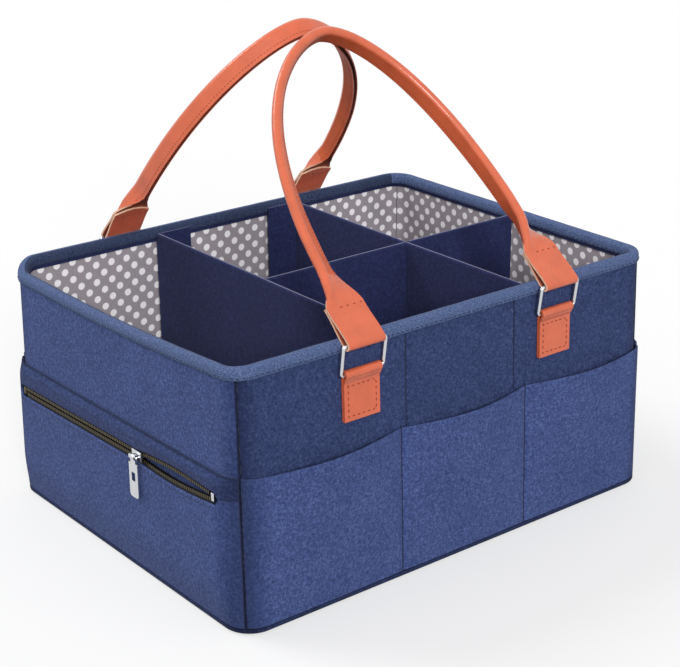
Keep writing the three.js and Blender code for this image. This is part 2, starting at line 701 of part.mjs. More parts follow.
// A handle standing on the X axis, which is the line of its two rings' upper bars
function handle(rise, lift) {
  const path = [...legPath(-1, rise, lift), ...legPath(1, rise, lift).reverse().slice(1)];
  const reach = [0];
  path.slice(1).forEach((p, i) => reach.push(reach[i] + p.distanceTo(path[i])));
  const total = reach[reach.length - 1];
  const rings = path.map((p, i) => {
    const before = path[Math.max(0, i - 1)];
    const after = path[Math.min(path.length - 1, i + 1)];
    const onward = after.clone().sub(before).normalize();
    const across = Y.clone().cross(onward).normalize();
    const inwards = onward.clone().cross(across);
    const end = Math.min(reach[i], total - reach[i]);
    const rolled = THREE.MathUtils.smoothstep(end, STRAP_FLAT, STRAP_FLAT + STRAP_CHANGE);
    const place = ([a, b]) => p.clone().addScaledVector(across, a).addScaledVector(inwards, b);
    return strapSection(rolled).map(place);
  });
  let strap = toSolid(loft(rings));
  for (const end of [-1, 1]) {
    strap = strap.add(toSolid(barAlongX(loopRadius, TAB_WIDTH, (end * TAB_SPACING) / 2)));
  }
  for (const end of [-1, 1]) {
    strap = strap.subtract(toSolid(barAlongX(bore, TAB_WIDTH * 1.5, (end * TAB_SPACING) / 2)));
  }
  return toGeometry(strap);
}

function barAlongX(radius, length, x) {
  const bar = new THREE.CylinderGeometry(radius, radius, length, ROUND_STEPS);
  return bar.rotateZ(QUARTER).translate(x, 0, 0);
}

// One long wall's tabs, rings and handle. side is -1 at the front and 1 at the back, where the
// whole set is turned round, so its left and right change places.
function buildHandle(name, wallName, side, rise, inwards, lift) {
  const rimTilt = Math.atan2(LONG_TUCK, HEIGHT);
  const half = DEPTH / 2 - (ringZ / HEIGHT - 0.5) * LONG_TUCK;
  const set = new THREE.Group();
  set.rotation.z = side < 0 ? 0 : Math.PI;
  caddy.add(set);
  const sewn = new THREE.Group();
  sewn.position.set(0, -half - (GAP + loopRadius) / Math.cos(rimTilt), ringZ);
  sewn.rotation.x = -rimTilt;
  set.add(sewn);
  const rings = new THREE.Group();
  rings.rotation.x = radians(RING_LEAN) + rimTilt;
  sewn.add(rings);
  const strap = new THREE.Group();
  strap.position.z = RING_HEIGHT;
  strap.rotation.x = -radians(RING_LEAN + inwards);
  rings.add(strap);
  for (const end of [-1, 1]) {
    const hand = end * -side < 0 ? 'left' : 'right';
    const place = (end * TAB_SPACING) / 2;
    add(`${wallName}_${hand}_tab`, anchorTab(), TAN, GRAINED, sewn).position.x = place;
    add(`${wallName}_${hand}_ring`, wireRing(), SILVER, METAL, rings).position.x = place;
  }
  add(name, handle(rise, lift), TAN, GRAINED, strap);
}

// Divider insert: two cross panels, a middle panel between them and one out to the right end
function buildDividers() {
  const low = floorTop + GAP;
  const height = HEIGHT - DIVIDER_DROP - low;
  const reach = DEPTH / 2 - LONG_TUCK / 2 - rimInside - DIVIDER_CLEARANCE;
  for (const [name, x] of [['divider_left', -DIVIDER_LEFT], ['divider_right', DIVIDER_RIGHT]]) {
    add(name, box(DIVIDER, 2 * reach, height, x, 0, low), DARK_NAVY);
  }
  const between = DIVIDER_LEFT + DIVIDER_RIGHT - DIVIDER - 2 * GAP;
  const middle = (DIVIDER_RIGHT - DIVIDER_LEFT) / 2;
  add('divider_middle', box(between, DIVIDER, height, middle, DIVIDER_Y, low), DARK_NAVY);
  const from = DIVIDER_RIGHT + DIVIDER / 2 + GAP;
  const to = LENGTH / 2 - END_TUCK / 2 - rimInside - DIVIDER_CLEARANCE;
  add('divider_end', box(to - from, DIVIDER, height, (from + to) / 2, DIVIDER_Y, low), DARK_NAVY);
}

buildBasket();
buildTrim();
buildPockets();
buildZip();
buildHandle('front_handle', 'front', -1, FRONT_RISE, FRONT_LEAN, FRONT_LIFT);
buildHandle('rear_handle', 'back', 1, REAR_RISE, REAR_LEAN, REAR_LIFT);
buildDividers();

export default caddy;
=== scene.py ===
"""Diaper caddy: felt, leather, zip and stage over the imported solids, in metres."""

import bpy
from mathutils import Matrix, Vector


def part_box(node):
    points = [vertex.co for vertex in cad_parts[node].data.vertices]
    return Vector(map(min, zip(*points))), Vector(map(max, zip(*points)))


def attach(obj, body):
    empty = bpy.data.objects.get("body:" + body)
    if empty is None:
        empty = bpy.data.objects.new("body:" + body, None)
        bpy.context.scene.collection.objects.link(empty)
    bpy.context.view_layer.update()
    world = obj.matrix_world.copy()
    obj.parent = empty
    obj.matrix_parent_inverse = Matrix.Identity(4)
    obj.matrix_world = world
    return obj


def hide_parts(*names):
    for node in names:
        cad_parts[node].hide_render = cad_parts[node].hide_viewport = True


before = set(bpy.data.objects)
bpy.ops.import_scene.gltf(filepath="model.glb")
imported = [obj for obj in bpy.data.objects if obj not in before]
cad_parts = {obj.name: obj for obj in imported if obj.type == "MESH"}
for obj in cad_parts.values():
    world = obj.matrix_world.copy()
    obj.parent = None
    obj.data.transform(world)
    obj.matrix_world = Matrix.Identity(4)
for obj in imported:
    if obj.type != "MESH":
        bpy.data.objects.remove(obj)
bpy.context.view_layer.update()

import math

import bmesh
import bpy
from mathutils import Matrix, Vector, noise

bl_info = {
    "name": "Diaper caddy",
    "version": (1, 0, 0),
    "blender": (4, 5, 0),
    "location": "3D View > Sidebar > Caddy",
    "description": "Felt basket with sewn pockets, a zipped pocket, dividers and two leather handles",
    "category": "Object",
}

# Basket, as the solids have it
LENGTH, DEPTH, HEIGHT = 0.374, 0.288, 0.185
END_TUCK, LONG_TUCK = 0.0015, 0.0055
CORNER = 0.018
END_DIP_BACK, END_DIP_FRONT, DIP_FOOT = 0.007, 0.001, 0.010
GAP = 0.0003
FELT, BOARD, LINING, FACING = 0.002, 0.0012, 0.0008, 0.0008
BOARD_FACE = FELT + GAP
LINING_FACE = BOARD_FACE + BOARD + GAP
FACING_FACE = LINING_FACE + LINING + GAP
BINDING, BINDING_DROP, FACING_DROP = 0.001, 0.008, 0.011
RIM_INSIDE = FACING_FACE + FACING + GAP + BINDING
LAYERS_TOP = 0.1815
FLOOR_LOW, FLOOR_TOP = 0.0056, 0.0064
BINDING_SHOULDER, BINDING_LIP = 0.0044, 0.0003
PIPING_TOP = 0.004
PIPING_MIDDLE, PIPING_HALF, PIPING_TALL = 0.0021, 0.001, 0.0015
SEAM_CUT, SEAM_HALF, SEAM_STAND = 0.0009, 0.0006, 0.0008

# Pockets
POCKET_LOW, POCKET_TOP = PIPING_TOP + GAP, 0.111
POCKET_SEAMS = (-0.0535, 0.0615)
WALL_SEAMS = (-0.0475, 0.0520)
POCKET_FULLNESS = 0.8

# Zip
ZIP_HEIGHT, ZIP_CLIMB, ZIP_HALF, ZIP_STANDOFF = 0.0915, 0.004, 0.121, 0.005
ZIP_WINDOW, ZIP_MOUTH, ZIP_RAMP, ZIP_SWELL, ZIP_RETURN = 0.0096, 0.005, 0.016, 0.4, 3
ROW_SPACE, TOOTH_LENGTH, ROW_SPINE, ROW_THICKNESS = 0.0016, 0.0012, 0.001, 0.0024
TAPE, TAPE_LAP = 0.0008, 0.004
TAPE_PLANE = ZIP_STANDOFF - GAP - TAPE / 2
SLIDER_Y = -0.035

# Handles
LEATHER = 0.0015
FLAT_AWAY = LEATHER * 0.6
TAB_SPACING, TAB_WIDTH, TAB_DROP = 0.176, 0.030, 0.033
RING_Z, RING_HEIGHT, RING_WIRE, RING_CORNER = 0.162, 0.021, 0.0028, 0.0022
RING_LEAN = math.radians(8)
LOOP_RADIUS = RING_WIRE / 2 + GAP + LEATHER
STRAP_FLAT, STRAP_CHANGE, LEG_STRAIGHT = 0.028, 0.027, 0.038
LEG_PULL, CROWN_PULL = 0.033, 0.022
FLAP_TOP, FLAT_SEWN = 0.029, 0.0268
ROLL_EDGE = 0.0019

# Dividers
FLANGE_FELT = 0.0016

# Stitches, by length and thickness, and how far they stand out of their face
TAB_STITCH, ROLL_STITCH, END_STITCH = (0.0026, 0.0008), (0.0019, 0.0006), (0.0024, 0.0008)
FELT_STITCH, SEAM_STITCH = (0.003, 0.0007), (0.0054, 0.0011)
PROUD = 0.0001

# Relief of the sewn felt: its depth, and the distances over which it fades
CORNER_ROLL, CORNER_ROLL_FADE = 0.0012, (0, 0.0035)
WALL_DENT, WALL_DENT_FADE = 0.0009, (0.0002, 0.0013)
POCKET_DENT, POCKET_DENT_FADE = 0.0013, (0.0003, 0.0022)

# Broken edges, and the steps of the meshes along the walls and up them
FELT_EDGE, LAYER_EDGE = 0.0005, 0.0002
TRIM_STEP, POCKET_STEP, WALL_STEP, LINING_STEP = 0.004, 0.005, 0.006, 0.008
FACING_STEP, BOARD_STEP, PLATE_STEP = 0.01, 0.012, 0.02
POCKET_RISE, WALL_RISE, LAYER_RISE, DIVIDER_RISE = 0.0065, 0.007, 0.01, 0.02

# Turns
QUARTER, EIGHTH = math.pi / 2, math.pi / 4


def linear(red, green, blue):
    """A colour read from 0 to 255, as the shaders take it"""
    def part(value):
        value /= 255
        return value / 12.92 if value <= 0.04045 else ((value + 0.055) / 1.055) ** 2.4
    return (part(red), part(green), part(blue), 1.0)


def colour(name, description, *shade):
    return bpy.props.FloatVectorProperty(
        name=name, description=description, subtype="COLOR", size=4, min=0, max=1, default=linear(*shade))


def length(name, description, default):
    return bpy.props.FloatProperty(
        name=name, description=description, default=default, min=0, unit="LENGTH", precision=4)


class CaddyColours(bpy.types.PropertyGroup):
    """Colours of the caddy's cloth, leather and metal"""
    felt: colour("Felt", "Middle tone of the heathered felt", 68, 83, 134)
    felt_dark: colour("Felt, dark fibres", "Dark fibres of the felt", 43, 54, 95)
    felt_pale: colour("Felt, pale fibres", "Pale fibres of the felt", 99, 117, 173)
    binding: colour("Binding", "Tape folded over the rim", 77, 94, 136)
    binding_dark: colour("Binding, dark threads", "Dark threads of the rim's tape", 44, 55, 88)
    binding_pale: colour("Binding, pale threads", "Pale threads of the rim's tape", 128, 144, 178)
    divider: colour("Dividers", "Felt of the divider insert", 38, 44, 82)
    # Pale top of the dividers: a painted highlight along the cut edge
    cut_edge: colour("Cut edge", "Cut upper edge of a divider", 150, 152, 190)
    lining: colour("Lining", "Ground of the dotted lining", 160, 153, 160)
    dots: colour("Dots", "Dots of the lining", 252, 249, 252)
    leather: colour("Leather", "Handles and tabs", 214, 102, 66)
    leather_edge: colour("Leather edge", "Raw edge of the leather", 240, 186, 158)
    leather_back: colour("Leather back", "Inner face of the rolled leather", 150, 66, 38)
    # Its colour is painted shade in the gap between the roll's two raw edges
    leather_dark: colour("Leather, sewn edge", "Dressed edge along the rolled leather", 84, 34, 24)
    leather_thread: colour("Leather thread", "Sewing on the leather", 150, 62, 38)
    felt_thread: colour("Felt thread", "Sewing on the felt", 38, 46, 84)
    silver: colour("Silver", "Rings, slider and puller", 212, 214, 217)
    brass: colour("Old brass", "Zip teeth", 98, 90, 72)
    tape: colour("Zip tape", "Woven tape of the zip", 22, 23, 30)
    board: colour("Board", "Stiffening boards", 168, 164, 154)


class CaddySizes(bpy.types.PropertyGroup):
    """Sizes of the sewn work"""
    pocket_bow: length("Pocket bow", "How far the long pockets' mouths stand off the wall", 0.010)
    end_bow: length("End pocket bow", "How far the end pocket's mouth stands off the wall", 0.009)
    rim_sag: length("Rim sag", "How far the left end's rim hangs in its middle", 0.003)
    wave: length("Felt wave", "Unevenness of the felt panels", 0.0006)
    dot_pitch: length("Dot pitch", "Distance between the lining's dots in a row", 0.0135)
    dot_size: length("Dot size", "Width of a dot", 0.0056)
    flange: length("Flange", "Length of the flanges on the cross dividers", 0.027)
    felt_pitch: length("Felt stitch", "Distance from stitch to stitch on felt", 0.0042)
    tab_pitch: length("Tab stitch", "Distance from stitch to stitch on the flat leather", 0.0042)
    roll_pitch: length("Roll stitch", "Distance from stitch to stitch along the rolled leather", 0.0028)
    tooth_pitch: length("Tooth pitch", "Distance from tooth to tooth of the zip", 0.0022)


def colours():
    return bpy.context.scene.caddy_colours


def sizes():
    return bpy.context.scene.caddy_sizes


# Nodes


def feed(tree, socket, value):
    """Link a socket to what feeds it, or set it"""
    source = value.socket if isinstance(value, Value) else value
    if isinstance(source, bpy.types.NodeSocket):
        tree.links.new(source, socket)
    else:
        socket.default_value = source


def set_stops(ramp, stops):
    while len(ramp.elements) < len(stops):
        ramp.elements.new(0.5)
    for element, (place, shade) in zip(ramp.elements, stops):
        element.position = place
        element.color = shade


def grown(tree, kind, settings=None, values=None):
    """A new node: first its settings, such as an operation or a ramp's stops, then what its sockets take"""
    made = tree.nodes.new(kind)
    for key, value in (settings or {}).items():
        if key == "stops":
            set_stops(made.color_ramp, value)
        else:
            setattr(made, key, value)
    for key, value in (values or {}).items():
        feed(tree, made.inputs[key], value)
    return made


class Value:
    """A shader socket in sums: each operator adds its Math node"""

    def __init__(self, maker, socket):
        self.maker = maker
        self.socket = socket

    def maths(self, operation, *others):
        return self.maker.maths(operation, self, *others)

    def __add__(self, other):
        return self.maths("ADD", other)

    __radd__ = __add__

    def __sub__(self, other):
        return self.maths("SUBTRACT", other)

    def __rsub__(self, other):
        return self.maker.maths("SUBTRACT", other, self)

    def __mul__(self, other):
        return self.maths("MULTIPLY", other)

    __rmul__ = __mul__

    def __truediv__(self, other):
        return self.maths("DIVIDE", other)

    def __rtruediv__(self, other):
        return self.maker.maths("DIVIDE", other, self)

    def __pow__(self, other):
        return self.maths("POWER", other)

    def __mod__(self, other):
        return self.maths("FLOORED_MODULO", other)


class Finish:
    """One material and its nodes"""

    def __init__(self, name, **constants):
        self.material = bpy.data.materials.new(name)
        self.material.use_nodes = True
        self.tree = self.material.node_tree
        self.shader = self.tree.nodes["Principled BSDF"]
        for socket, value in constants.items():
            self.shader.inputs[socket.replace("_", " ").title().replace("Ior", "IOR")].default_value = value

    def node(self, kind, settings=None, values=None, output=0):
        return Value(self, grown(self.tree, kind, settings, values).outputs[output])

    def maths(self, operation, *terms):
        return self.node("ShaderNodeMath", {"operation": operation}, dict(enumerate(terms)))

    def set(self, socket, value):
        feed(self.tree, self.shader.inputs[socket], value)
        return self

    def toned(self, tone, *stops):
        return self.node("ShaderNodeValToRGB", {"stops": stops}, {"Fac": tone})

    def place(self):
        return self.node("ShaderNodeTexCoord", output="Object")

    def along(self):
        return self.node("ShaderNodeUVMap", {"uv_map": "cloth"})

    def stretched(self, vector, scale, turn=(0.0, 0.0, 0.0)):
        return self.node("ShaderNodeMapping", {}, {"Vector": vector, "Scale": scale, "Rotation": turn})

    def cloud(self, vector, scale, detail=2.0, roughness=0.5, distortion=0.0):
        values = {"Vector": vector, "Scale": scale, "Detail": detail, "Roughness": roughness,
                  "Distortion": distortion}
        return self.node("ShaderNodeTexNoise", {}, values)

    def parts(self, vector):
        return [self.node("ShaderNodeSeparateXYZ", {}, {"Vector": vector}, axis) for axis in range(3)]

    def mixed(self, factor, first, second):
        values = {0: factor, 6: first, 7: second}
        return self.node("ShaderNodeMix", {"data_type": "RGBA"}, values, 2)

    def spread(self, value, low, high, to_low=0.0, to_high=1.0):
        values = {"Value": value, "From Min": low, "From Max": high, "To Min": to_low, "To Max": to_high}
        return self.node("ShaderNodeMapRange", {}, values)

    def bump(self, height, strength, distance):
        values = {"Height": height, "Strength": strength, "Distance": distance}
        return self.set("Normal", self.node("ShaderNodeBump", {}, values))


def times(shade, factor):
    """A lighter or darker shade of the same colour"""
    return tuple(min(1.0, part * factor) for part in shade[:3]) + (1.0,)


def felt(name, middle, dark, pale):
    """Needled felt of mixed fibres that lie every way, with painted shade round the basket's corners"""
    made = Finish(name, roughness=0.95, sheen_weight=0.05, sheen_roughness=0.6, specular_ior_level=0.05)
    place = made.place()
    rising = made.cloud(made.stretched(place, (1.0, 1.0, 0.4), (0.0, 0.5, 0.4)), 900, 2.0, 0.6, 0.8)
    level = made.cloud(made.stretched(place, (0.45, 0.45, 1.0), (0.4, -0.5, 0.0)), 860, 2.0, 0.6, 0.8)
    tufts = made.cloud(place, 520, 2.0, 0.6)
    patches = made.cloud(place, 36, 2.0)
    tone = rising * 0.3 + level * 0.3 + tufts * 0.33 + patches * 0.07
    mottled = made.toned(tone, (0.34, dark), (0.5, middle), (0.66, pale))
    x, y, _ = made.parts(place)
    past = (x.maths("ABSOLUTE") - LENGTH / 2).maths("MINIMUM", y.maths("ABSOLUTE") - DEPTH / 2)
    # Painted shade where the felt turns round a corner
    painted_corner_shade = made.spread(past, -0.021, -0.007, 0, 0.62)
    made.set("Base Color", made.mixed(painted_corner_shade, mottled, times(dark, 0.6)))
    fuzz = made.cloud(place, 1500, 3.0, 0.7)
    return made.bump(fuzz * 0.5 + rising * 0.25 + level * 0.25, 0.55, 0.0006).material


def woven_tape(name, shade, dark, pale):
    """Binding tape with short slanting threads"""
    made = Finish(name, roughness=0.9, sheen_weight=0.05, specular_ior_level=0.05)
    threads = made.cloud(made.stretched(made.along(), (800, 2100, 1), (0, 0, 0.5)), 1.0, 2.0, 0.6)
    speck = made.cloud(made.place(), 800, 2.0, 0.6)
    tone = threads * 0.65 + speck * 0.35
    made.set("Base Color", made.toned(tone, (0.3, dark), (0.49, shade), (0.7, pale)))
    return made.bump(threads * 0.7 + speck * 0.3, 0.35, 0.0004).material


def dotted(name, ground, dots, pitch, size):
    """Plain-woven lining with rows of dots, each row half a step on"""
    made = Finish(name, roughness=0.85, sheen_weight=0.05, specular_ior_level=0.1)
    along, across, _ = made.parts(made.along())
    row_pitch, blur = pitch * 0.515, 0.0003
    row = across / row_pitch
    shifted = along / pitch + (row.maths("FLOOR") % 2.0) * 0.5
    left = (shifted % 1.0 - 0.5) * pitch
    up = (row % 1.0 - 0.5) * row_pitch
    away = (left * left + up * up) ** 0.5
    inside = made.spread(away, size / 2 + blur, size / 2 - blur)
    weave = made.cloud(made.place(), 900, 2.0, 0.7)
    cloth = made.mixed(weave, times(ground, 0.75), times(ground, 1.25))
    made.set("Base Color", made.mixed(inside, cloth, dots))
    return made.bump(weave, 0.3, 0.0003).material


def leather(name, shade, roughness=0.3, coat=0.25, gloss=0.5):
    """Smooth leather with a fine pebble and a slow mottling"""
    made = Finish(name, coat_weight=coat, coat_roughness=0.24, specular_ior_level=gloss)
    place = made.place()
    pebble = made.node("ShaderNodeTexVoronoi", {"feature": "SMOOTH_F1"}, {
        "Vector": place, "Scale": 1100, "Smoothness": 0.6}, "Distance")
    cloudy = made.cloud(place, 75, 2.0)
    fine = made.cloud(place, 420, 3.0, 0.6)
    tone = cloudy * 0.8 + fine * 0.1 + pebble * 0.15
    dark, pale = times(shade, 0.88), times(shade, 1.08)
    made.set("Base Color", made.toned(tone, (0.3, dark), (0.5, shade), (0.7, pale)))
    made.set("Roughness", made.spread(fine, 0.3, 0.7, roughness * 0.85, roughness * 1.25))
    return made.bump(pebble * 0.5 + fine * 0.3 + cloudy * 4, 0.3, 0.0004).material


def plain(name, shade, scale, depth, strength, distance, roughness):
    """One shade with a little mottling and relief of its own"""
    made = Finish(name, roughness=roughness)
    speck = made.cloud(made.place(), scale, 3.0, 0.6)
    made.set("Base Color", made.mixed(speck, times(shade, 1 - depth), times(shade, 1 + depth)))
    return made.bump(speck, strength, distance).material


def metal(name, shade, roughness, tarnish):
    """Plated wire and castings with rubbed patches"""
    made = Finish(name, metallic=1.0)
    worn = made.cloud(made.place(), 350, 4.0, 0.6)
    made.set("Base Color", made.mixed(worn, times(shade, 1 - tarnish), shade))
    made.set("Roughness", made.spread(worn, 0.3, 0.7, roughness * 0.75, roughness * 1.4))
    return made.bump(worn, 0.1, 0.0002).material


# Plain finishes: material, colour and its strength, then grain, mottling, relief, its height, roughness
PLAIN = {
    "leather_edge": ("tan_edge", "leather_edge", 1.0, 500, 0.3, 0.4, 0.0004, 0.8),
    # Painted shade in the gap between the rolled leaves' raw edges
    "leather_dark": ("dark_edge", "leather_dark", 1.0, 500, 0.3, 0.4, 0.0004, 0.7),
    # The dividers' pale top faces: a painted highlight
    "divider_top_painted_highlight": ("pale_cut_edge", "cut_edge", 0.5, 600, 0.35, 0.5, 0.0005, 0.95),
    "leather_thread": ("tan_thread", "leather_thread", 1.0, 1500, 0.25, 0.4, 0.0003, 0.7),
    "seam_thread": ("dark_seam", "felt_thread", 0.7, 1500, 0.25, 0.4, 0.0003, 0.9),
    "felt_thread": ("navy_thread", "felt_thread", 1.0, 1500, 0.25, 0.4, 0.0003, 0.8),
    "zip_tape": ("black_tape", "tape", 1.0, 1400, 0.4, 0.5, 0.0004, 0.85),
    "board_grey": ("grey_board", "board", 1.0, 300, 0.12, 0.3, 0.0005, 0.95),
}
HELD = {}


def finishes():
    """Every material of the caddy, made once"""
    if HELD:
        return HELD
    shade = {name: tuple(getattr(colours(), name)) for name in CaddyColours.__annotations__}
    navy = (shade["felt"], shade["felt_dark"], shade["felt_pale"])
    threads = (shade["binding"], shade["binding_dark"], shade["binding_pale"])
    dots = (sizes().dot_pitch, sizes().dot_size)
    HELD.update({
        "felt_navy": felt("navy_felt", *navy),
        # A darker copy of the felt: painted shade on the long walls and the zipped pocket's upper panel
        "wall_navy_painted_shade": felt("navy_wall_felt", *(times(part, 0.62) for part in navy)),
        "trim_navy": felt("navy_trim", *(times(shade["felt"], share) for share in (0.34, 0.16, 0.6))),
        "divider_navy": felt("navy_divider", *(times(shade["divider"], share) for share in (1.0, 0.6, 1.7))),
        "binding_denim": woven_tape("denim_binding", *threads),
        # A darker copy of the binding tape: painted shade on the rim's inner face
        "binding_shade": woven_tape("navy_binding", *(times(part, 0.42) for part in threads)),
        "lining_dots": dotted("dotted_lining", shade["lining"], shade["dots"], *dots),
        "leather_tan": leather("tan_leather", shade["leather"]),
        "leather_back": leather("brown_leather_back", shade["leather_back"], 0.7, 0.0),
        "leather_leaf": leather("tan_leaf", shade["leather"], 0.5, 0.0, 0.15),
        # A darker copy of the leather: painted shade on the roll's leaf along each handle's shaded stretch
        "leather_under": leather("inner_leaf", times(shade["leather"], 0.86), 0.5, 0.0, 0.12),
        "ring_silver": metal("silver_plate", shade["silver"], 0.22, 0.12),
        "zip_brass": metal("old_brass", shade["brass"], 0.34, 0.45),
    })
    for slot, (name, source, strength, *look) in PLAIN.items():
        HELD[slot] = plain(name, times(shade[source], strength), *look)
    return HELD


# Meshes


def ease(value, low, high):
    t = min(1.0, max(0.0, (value - low) / (high - low)))
    return t * t * (3 - 2 * t)


def mix(first, second, share):
    return first + (second - first) * share


def steps(count, low=0.0, high=1.0):
    """Even steps from low to high, with both"""
    return [mix(low, high, i / count) for i in range(count + 1)]


def circle(count, start=0.0):
    """Cosine and sine at even steps of a turn, the first one a share of a step on"""
    turns = [2 * math.pi * (i + start) / count for i in range(count)]
    return [(math.cos(turn), math.sin(turn)) for turn in turns]


def end_dip(x, y, z):
    """How far the left end has sunk at a point, with the hang of its rim"""
    past, over = -x - LENGTH / 2 + CORNER, abs(y) - DEPTH / 2 + CORNER
    if past <= 0 or z <= DIP_FOOT:
        return 0.0
    rounding = ease(math.atan2(max(0.0, over), past), 0, QUARTER)
    back = min(1.0, max(0.0, 0.5 + y / (DEPTH - 2 * CORNER)))
    share = (z - DIP_FOOT) / (HEIGHT - DIP_FOOT)
    hang = sizes().rim_sag * math.sin(math.pi * back) * share ** 4
    return (mix(END_DIP_FRONT, END_DIP_BACK, back) * share + hang) * (1 - rounding)


def lean(x, y, z):
    """What is built upright, moved to where the leaning walls and the sunk left end have it"""
    rise = z / HEIGHT - 0.5
    return (x * (1 - rise * END_TUCK / (LENGTH / 2)), y * (1 - rise * LONG_TUCK / (DEPTH / 2)),
            z - end_dip(x, y, z))


def corner_station(corner, angle):
    """A point on the walls' outer face and the outward direction there"""
    side_x, side_y = ((-1, -1), (1, -1), (1, 1), (-1, 1))[corner]
    turn = math.pi * (1 + corner / 2) + angle
    out_x, out_y = math.cos(turn), math.sin(turn)
    x = side_x * (LENGTH / 2 - CORNER) + CORNER * out_x
    y = side_y * (DEPTH / 2 - CORNER) + CORNER * out_y
    return (x, y, out_x, out_y)


CORNER_STEPS = 12
SEAM_STEPS = (-0.0024, -0.0012, -0.0005, 0, 0.0005, 0.0012, 0.0024)


def straight(start, end, step, marks=()):
    """Stations between two corners, with more of them at the marks, counted from the middle"""
    run = math.hypot(end[0] - start[0], end[1] - start[1])
    count = max(1, round(run / step))
    places = [run * i / count for i in range(1, count)]
    for mark in marks:
        places = [p for p in places if abs(p - run / 2 - mark) > 0.003]
    places += [run / 2 + mark + shift for mark in marks for shift in SEAM_STEPS]
    return [(mix(start[0], end[0], p / run), mix(start[1], end[1], p / run), start[2], start[3])
            for p in sorted(places)]


def one_side(side, cut, step, marks=()):
    """Stations from the middle of one corner to the middle of the next, open there by the cut"""
    opening = cut / CORNER
    half = CORNER_STEPS // 2
    after = (side + 1) % 4
    first = [corner_station(side, EIGHTH + opening + (EIGHTH - opening) * i / half) for i in range(half + 1)]
    last = [corner_station(after, (EIGHTH - opening) * i / half) for i in range(half + 1)]
    return first + straight(first[-1], last[0], step, marks) + last


def all_round(step):
    """Stations right round the basket"""
    stations = []
    for corner in range(4):
        stations += [corner_station(corner, QUARTER * i / CORNER_STEPS) for i in range(CORNER_STEPS + 1)]
        stations += straight(stations[-1], corner_station((corner + 1) % 4, 0), step)
    return stations


def at(station, depth, z):
    """The point at a depth behind the walls' outer face, at a height"""
    x, y, out_x, out_y = station
    return lean(x - out_x * depth, y - out_y * depth, z)


def reaches(points):
    """Running length along points, by their first two places"""
    total = [0.0]
    for before, after in zip(points, points[1:]):
        total.append(total[-1] + math.hypot(after[0] - before[0], after[1] - before[1]))
    return total


def skin(name, rings, closed=False, edges=()):
    """A closed skin through rings of equally many points, with a map of lengths along and across.
    The columns named as edges, and then both ends, take the second material."""
    count = len(rings[0])
    points = [Vector(p) for ring in rings for p in ring]
    middles = [sum((Vector(p) for p in ring), Vector()) / count for ring in rings]
    along = [0.0]
    for i in range(len(rings)):
        along.append(along[-1] + (middles[(i + 1) % len(rings)] - middles[i]).length)
    across = []
    for ring in rings:
        run = [0.0]
        for j in range(count):
            run.append(run[-1] + (Vector(ring[(j + 1) % count]) - Vector(ring[j])).length)
        across.append(run)
    faces, cloth, kinds = [], [], []
    for i in range(len(rings) if closed else len(rings) - 1):
        n = (i + 1) % len(rings)
        for j in range(count):
            k = (j + 1) % count
            faces.append((i * count + j, i * count + k, n * count + k, n * count + j))
            cloth += [(along[i], across[i][j]), (along[i], across[i][j + 1]),
                      (along[i + 1], across[n][j + 1]), (along[i + 1], across[n][j])]
            kinds.append(int(j in edges))
    if not closed:
        for base, turned in ((0, True), ((len(rings) - 1) * count, False)):
            for j in range(count // 2 - 1):
                face = (base + j, base + j + 1, base + count - 2 - j, base + count - 1 - j)
                faces.append(face[::-1] if turned else face)
                cloth += [(points[p].x + points[p].y, points[p].z) for p in faces[-1]]
                kinds.append(int(bool(edges)))
    mesh = solid_mesh(name, points, faces, cloth)
    mesh.polygons.foreach_set("material_index", kinds)
    return mesh


def solid_mesh(name, points, faces, cloth):
    """A closed mesh with its map, turned right side out"""
    mesh = bpy.data.meshes.new(name)
    mesh.from_pydata(points, [], faces)
    layer = mesh.uv_layers.new(name="cloth")
    layer.data.foreach_set("uv", [value for pair in cloth for value in pair])
    volume = 0.0
    for face in faces:
        for second, third in zip(face[1:], face[2:]):
            volume += points[face[0]].dot(points[second].cross(points[third]))
    if volume < 0:
        mesh.flip_normals()
    mesh.update()
    return mesh


def show(name, mesh, body, slot, replaced=(), materials=(), crease=35):
    """Put a finished mesh in the scene on its body, in place of the solids that it stands for"""
    held = finishes()
    for material in materials or (slot,):
        mesh.materials.append(held[material])
    mesh.shade_smooth()
    mesh.set_sharp_from_angle(angle=math.radians(crease))
    piece = bpy.data.objects.new(name, mesh)
    bpy.context.scene.collection.objects.link(piece)
    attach(piece, body)
    if replaced:
        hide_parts(*replaced)
    return piece


def lay(name, rings, slot, replaced=(), materials=(), body="caddy", crease=35, closed=False):
    """Show the skin through some rings"""
    return show(name, skin(name, rings, closed), body, slot, replaced, materials, crease)


def uneven(x, y, z, seed, scale=14.0):
    """Slow unevenness from 0 to 1"""
    return 0.5 + 0.5 * noise.noise(Vector((x * scale + seed * 7.3, y * scale, z * scale)))


def slab_ring(station, outer, inner, heights, edge):
    """Section of a sewn panel, up its outer face and down its inner one"""
    last = len(heights) - 1
    ring = []
    for i, z in enumerate(heights):
        ring.append(at(station, outer(z) + (edge if i in (0, last) else 0), z))
    for i in range(last, -1, -1):
        ring.append(at(station, inner(heights[i]) - (edge if i in (0, last) else 0), heights[i]))
    return ring


def heights_between(low, high, step, edge):
    """Heights of a panel's rows, with one close to each edge"""
    count = max(2, round((high - low) / step))
    return [low, *steps(count, low + edge, high - edge), high]


SIDES = ("front", "right", "back", "left")
CORNERS = ("front_left", "front_right", "back_right", "back_left")


